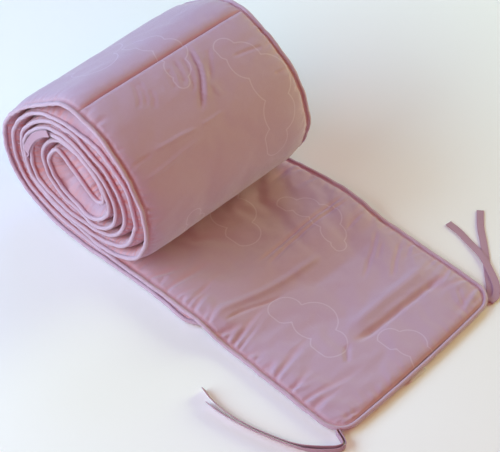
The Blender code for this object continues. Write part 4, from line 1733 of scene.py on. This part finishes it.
@dataclass(frozen=True)
class Cotton:
    """A cotton finish: its dye, how it takes light, and its weave, with a painted reddish shade and glow in
    folds and gaps and a painted shade between its threads.
    """

    name: str
    colour: tuple
    deeper: tuple
    roughness: float = 0.72
    sheen: float = 0.35
    sheen_tint: tuple = (0.86, 0.86, 1.0)
    threads: float = 2600.0
    weave_depth: float = 0.05 * MM
    crinkle: float = 0.25 * MM
    print_colour: tuple | None = None
    print_half: float = 0.65 * MM
    # Painted reddish shade and glow for folds, grooves and gaps between turns: its colour, and how much of it
    # the fold attribute mixes in at most.
    painted_shade_glow_colour: tuple | None = None
    fold_share: float = 0.75
    # Painted shade in the weave's gaps between threads.
    gap_painted_shade: float = 0.16
    print_share: float = 0.5
    print_fade: float = 0.35 * MM
    roughness_range: tuple = (-0.05, 0.07)
    settings: tuple = (("Sheen Roughness", 0.45), ("Specular IOR Level", 0.28))

    def material(self, groups: ClothGroups) -> bpy.types.Material:
        """Build the material.

        Args:
            groups: the shared shader groups.

        Returns:
            The material.
        """
        made = bpy.data.materials.new(self.name)
        made.use_nodes = True
        sheet = NodeSheet(made.node_tree)
        shader = made.node_tree.nodes["Principled BSDF"]
        cloth = sheet.add("ShaderNodeUVMap", uv_map="cloth").outputs[0]
        place = sheet.add("ShaderNodeTexCoord").outputs["Object"]
        weave = sheet.add("ShaderNodeGroup", node_tree=groups.weave)
        sheet.wire(cloth, weave.inputs["Cloth"])
        weave.inputs["Threads per metre"].default_value = self.threads
        tone = sheet.add("ShaderNodeGroup", node_tree=groups.tone)
        sheet.wire(place, tone.inputs["Place"])
        tone.inputs["Colour"].default_value = (*self.colour, 1.0)
        tone.inputs["Deeper"].default_value = (*self.deeper, 1.0)
        # Painted shade: the weave's gaps between threads are mixed towards the deeper colour.
        gaps = sheet.maths("MULTIPLY", weave.outputs["Gap"], self.gap_painted_shade)
        colour = sheet.mix(gaps, tone.outputs["Colour"], (*self.deeper, 1.0))
        # Painted reddish shade and glow: a colour mixed in by how deep a point lies in a fold, groove or gap
        # between turns.
        if self.painted_shade_glow_colour:
            fold = sheet.add("ShaderNodeAttribute", attribute_name="in_fold").outputs["Fac"]
            deep = sheet.maths("MULTIPLY", fold, self.fold_share)
            colour = sheet.mix(deep, colour, (*self.painted_shade_glow_colour, 1.0))
        if self.print_colour:
            outline = sheet.add("ShaderNodeAttribute", attribute_name="outline_distance").outputs["Fac"]
            near, away = self.print_half, self.print_half + self.print_fade
            inside = sheet.add("ShaderNodeMapRange", {0: sheet.maths("ABSOLUTE", outline), 1: near, 2: away,
                                                      3: self.print_share, 4: 0.0})
            colour = sheet.mix(inside.outputs[0], colour, (*self.print_colour, 1.0))
        sheet.wire(colour, shader.inputs["Base Color"])
        smoother, rougher = (self.roughness + more for more in self.roughness_range)
        rough = sheet.add("ShaderNodeMapRange", {0: tone.outputs["Mask"], 3: smoother, 4: rougher})
        sheet.wire(rough.outputs[0], shader.inputs["Roughness"])
        crinkle = sheet.noise(place, 160.0, 4.0, 0.55)
        broad = sheet.add("ShaderNodeBump", {"Height": crinkle, "Distance": self.crinkle, "Strength": 0.8})
        fine = sheet.add("ShaderNodeBump", {"Height": weave.outputs["Height"], "Distance": self.weave_depth,
                                            "Normal": broad.outputs[0], "Strength": 1.0})
        sheet.wire(fine.outputs[0], shader.inputs["Normal"])
        shader.inputs["Sheen Weight"].default_value = self.sheen
        shader.inputs["Sheen Tint"].default_value = (*self.sheen_tint, 1.0)
        for label, value in self.settings:
            shader.inputs[label].default_value = value
        return made


@dataclass
class Studio:
    """The plain pale floor, the soft light and the camera at the photograph's angle.

    Lamps are rows of name, place, side in metres, watts and colour. Yaw, pitch and roll are in degrees.
    """

    camera_place: tuple = (1.170, -1.0255, 1.601)
    yaw: float = 134.08
    pitch: float = 47.13
    roll: float = 0.95
    lens: float = 114.84
    sensor: float = 36.0
    aim: tuple = (0.1, 0.0, 0.05)
    lamps: tuple = (
        ("window", (-1.6, -1.3, 1.5), 1.5, 42.0, (0.43, 0.73, 1.0)),
        ("near_window", (-0.5, -2.0, 1.1), 1.5, 38.0, (0.75, 0.985, 1.0)),
        ("sky", (-1.3, 1.7, 1.6), 1.5, 20.0, (0.31, 0.41, 1.0)),
        ("room", (1.6, -1.5, 2.0), 1.5, 15.5, (1.0, 0.07, 0.04)),
        ("far_window", (0.8, 2.3, 0.8), 1.2, 42.0, (0.83, 1.0, 0.50)),
    )
    world_colour: tuple = (1.0, 0.65, 0.40, 1.0)
    world_strength: float = 0.2
    floor_colour: tuple = (0.93, 0.95, 0.98, 1.0)
    floor_roughness: float = 0.9
    floor_half: float = 6.0
    floor_drop: float = 0.6 * MM

    def light(self, name: str, place: tuple, size: float, power: float, colour: tuple) -> None:
        """A soft area light aimed at the roll.

        Args:
            name: its name.
            place: where it hangs.
            size: its side.
            power: its power in watts.
            colour: its colour.
        """
        lamp = bpy.data.lights.new(name, "AREA")
        lamp.shape, lamp.size, lamp.energy, lamp.color = "SQUARE", size, power, colour
        made = in_scene(name, lamp)
        made.location = place
        made.rotation_euler = (Vector(self.aim) - Vector(place)).to_track_quat("-Z", "Y").to_euler()

    def lay_floor(self) -> None:
        """Lay the pale floor, just under the bumper."""
        paint = bpy.data.materials.new("studio_floor")
        paint.use_nodes = True
        shader = paint.node_tree.nodes["Principled BSDF"]
        shader.inputs["Base Color"].default_value = self.floor_colour
        shader.inputs["Roughness"].default_value = self.floor_roughness
        corners = [(x * self.floor_half, y * self.floor_half, -self.floor_drop)
                   for x, y in ((-1, -1), (1, -1), (1, 1), (-1, 1))]
        floor = mesh_object("studio_floor", corners, [(0, 1, 2, 3)], paint)

    def set_camera(self) -> None:
        """Set the camera where the photograph was taken from."""
        camera = bpy.data.cameras.new("photo_camera")
        camera.lens, camera.sensor_width, camera.sensor_fit = self.lens, self.sensor, "HORIZONTAL"
        eye = in_scene("photo_camera", camera)
        yaw, pitch, roll = (math.radians(a) for a in (self.yaw, self.pitch, self.roll))
        look = Vector((math.cos(pitch) * math.cos(yaw), math.cos(pitch) * math.sin(yaw), -math.sin(pitch)))
        right = look.cross(Vector((0, 0, 1))).normalized()
        up = right.cross(look)
        side_axis = math.cos(roll) * right + math.sin(roll) * up
        up_axis = math.cos(roll) * up - math.sin(roll) * right
        turned = Matrix((side_axis, up_axis, -look)).transposed().to_4x4()
        eye.matrix_world = Matrix.Translation(Vector(self.camera_place)) @ turned
        bpy.context.scene.camera = eye

    def build(self) -> None:
        """Set the floor, the world, the lights and the camera."""
        self.lay_floor()
        world = bpy.data.worlds.new("studio_world")
        world.use_nodes = True
        background = world.node_tree.nodes["Background"]
        background.inputs["Color"].default_value = self.world_colour
        background.inputs["Strength"].default_value = self.world_strength
        bpy.context.scene.world = world
        for lamp in self.lamps:
            self.light(*lamp)
        self.set_camera()
        bpy.context.scene.view_settings.view_transform = "Standard"


@dataclass
class CotBumper:
    """The whole bumper: its band, panels, cord, ties and label, and their finishes.

    The sheet lengths say how much of the band is settled as cloth before and after the seam on top, and on
    the tongue.
    """

    band: BandLine = field(default_factory=BandLine)
    seam_gap: float = 0.15 * MM
    front_sheets: tuple = (0.43, 0.45)
    tongue_sheet: float = 0.60

    def finishes(self) -> dict:
        """The four cottons.

        Returns:
            The materials by slot name.
        """
        groups = ClothGroups()
        # fold is a painted reddish shade and glow colour for folds, grooves and gaps between turns; pink and
        # deep are dye colours.
        pink, deep, fold = (0.530, 0.370, 0.490), (0.49, 0.315, 0.415), (0.74, 0.30, 0.28)
        cottons = (
            Cotton("cotton_panel", pink, deep, print_colour=(0.66, 0.54, 0.67), painted_shade_glow_colour=fold),
            Cotton("cotton_piping", (0.56, 0.40, 0.52), deep, weave_depth=0.08 * MM, sheen=0.4,
                   painted_shade_glow_colour=fold),
            Cotton("cotton_tape", (0.475, 0.29, 0.385), (0.43, 0.25, 0.33), threads=2200.0, sheen=0.15),
            Cotton("label_tape", (0.76, 0.73, 0.80), (0.66, 0.62, 0.70), roughness=0.5, threads=4200.0,
                   sheen=0.2, crinkle=0.1 * MM),
        )
        return {cotton.name: cotton.material(groups) for cotton in cottons}

    def wrinkles(self) -> Wrinkles:
        """The relief of the cloth, with the sheets on the roll's front and the tongue settled.

        Returns:
            The relief, which all panels share.
        """
        band, end, seam = self.band, self.band.length, self.band.seams[0]
        front = {"reach": 14 * MM, "growth": 0.004, "fold_share": 0.4}
        tongue = {"reach": 28 * MM, "seam_growth": 0.07, "fold_share": 0.6}
        relief = Wrinkles(band, CreaseTable().on(band), [
            GatheredSheet(seam - self.front_sheets[0], seam, (True, False), **front),
            GatheredSheet(seam, seam + self.front_sheets[1], (False, True), **front),
            GatheredSheet(end - self.tongue_sheet, end, (True, False), **tongue),
        ])
        relief.settle()
        return relief

    def panels(self, material: bpy.types.Material) -> None:
        """Build the four panels, each as a run of the band with the stretch that shows and its end crowns.

        Args:
            material: their cotton.
        """
        band, gap, end = self.band, self.seam_gap, self.band.length
        relief, cloud_print = self.wrinkles(), CloudPrint()
        first, middle, last = band.seams
        runs = {
            "panel_short_outer": (0.0, first - gap, (0.20, first), (12 * MM, 17 * MM)),
            "panel_long_outer": (first + gap, middle - gap, (first, first + 0.42), (6 * MM, 14 * MM)),
            "panel_short_inner": (middle + gap, last - gap, (0.0, 0.0), (14 * MM, 14 * MM)),
            "panel_long_tongue": (last + gap, end, (end - BandSeams.tongue_shows, end), (14 * MM, 13 * MM)),
        }
        for node, (start, stop, shows, crowns) in runs.items():
            panel = PaddedPanel(f"{node}_cloth", band, relief, cloud_print, start, stop, shows, crowns=crowns)
            piece = panel.build(material)
            self.register(piece, node, "cotton_panel")

    def trims(self, finishes: dict) -> None:
        """Build the piping, the ties and the label.

        Args:
            finishes: the materials by slot name.
        """
        cord = EdgeCord("piping_cord", self.band).build(finishes["cotton_piping"])
        self.register(cord, "piping", "cotton_piping")
        ties = (
            (NearTie("tie_near_tape"), "tie_near", "laid"),
            (FarTie("tie_far_tape"), "tie_far", "laid"),
            (TuckedTie("tie_tucked_tape"), "tie_tucked", "folded"),
        )
        for tie, node, held in ties:
            piece = tie.build(finishes["cotton_tape"])
            self.register(piece, node, "cotton_tape")
            rows = StitchRow(piece.name.replace("tape", "stitches"), thread=0.42 * MM)
            sewing = rows.build(tie.stitch_lines, finishes["cotton_tape"])
            self.register(sewing, node, "cotton_tape")
        seams = StitchRow("panel_stitches").build(BandSeams(self.band).lines(), finishes["cotton_panel"])
        self.register(seams, None, "cotton_panel")
        label = EndLabel("label_ribbon", self.band)
        piece = label.build(finishes["label_tape"])
        self.register(piece, "label", "label_tape")

    @staticmethod
    def register(piece: bpy.types.Object, node: str | None, slot: str) -> None:
        """Let a piece ride on the body and stand for a node.

        Args:
            piece: the finished piece.
            node: the node it stands for, if it does.
            slot: the material slot's name; not used.
        """
        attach(piece, "root")
        if node:
            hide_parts(node)
        LOG.info("%s: %d faces", piece.name, len(piece.data.polygons))

    def build(self) -> None:
        """Build every piece."""
        finishes = self.finishes()
        self.panels(finishes["cotton_panel"])
        self.trims(finishes)


def main() -> None:
    """Build the studio and the bumper."""
    logging.basicConfig(level=logging.INFO, format="%(name)s: %(message)s")
    Studio().build()
    CotBumper().build()


if __name__ == "__main__":
    main()
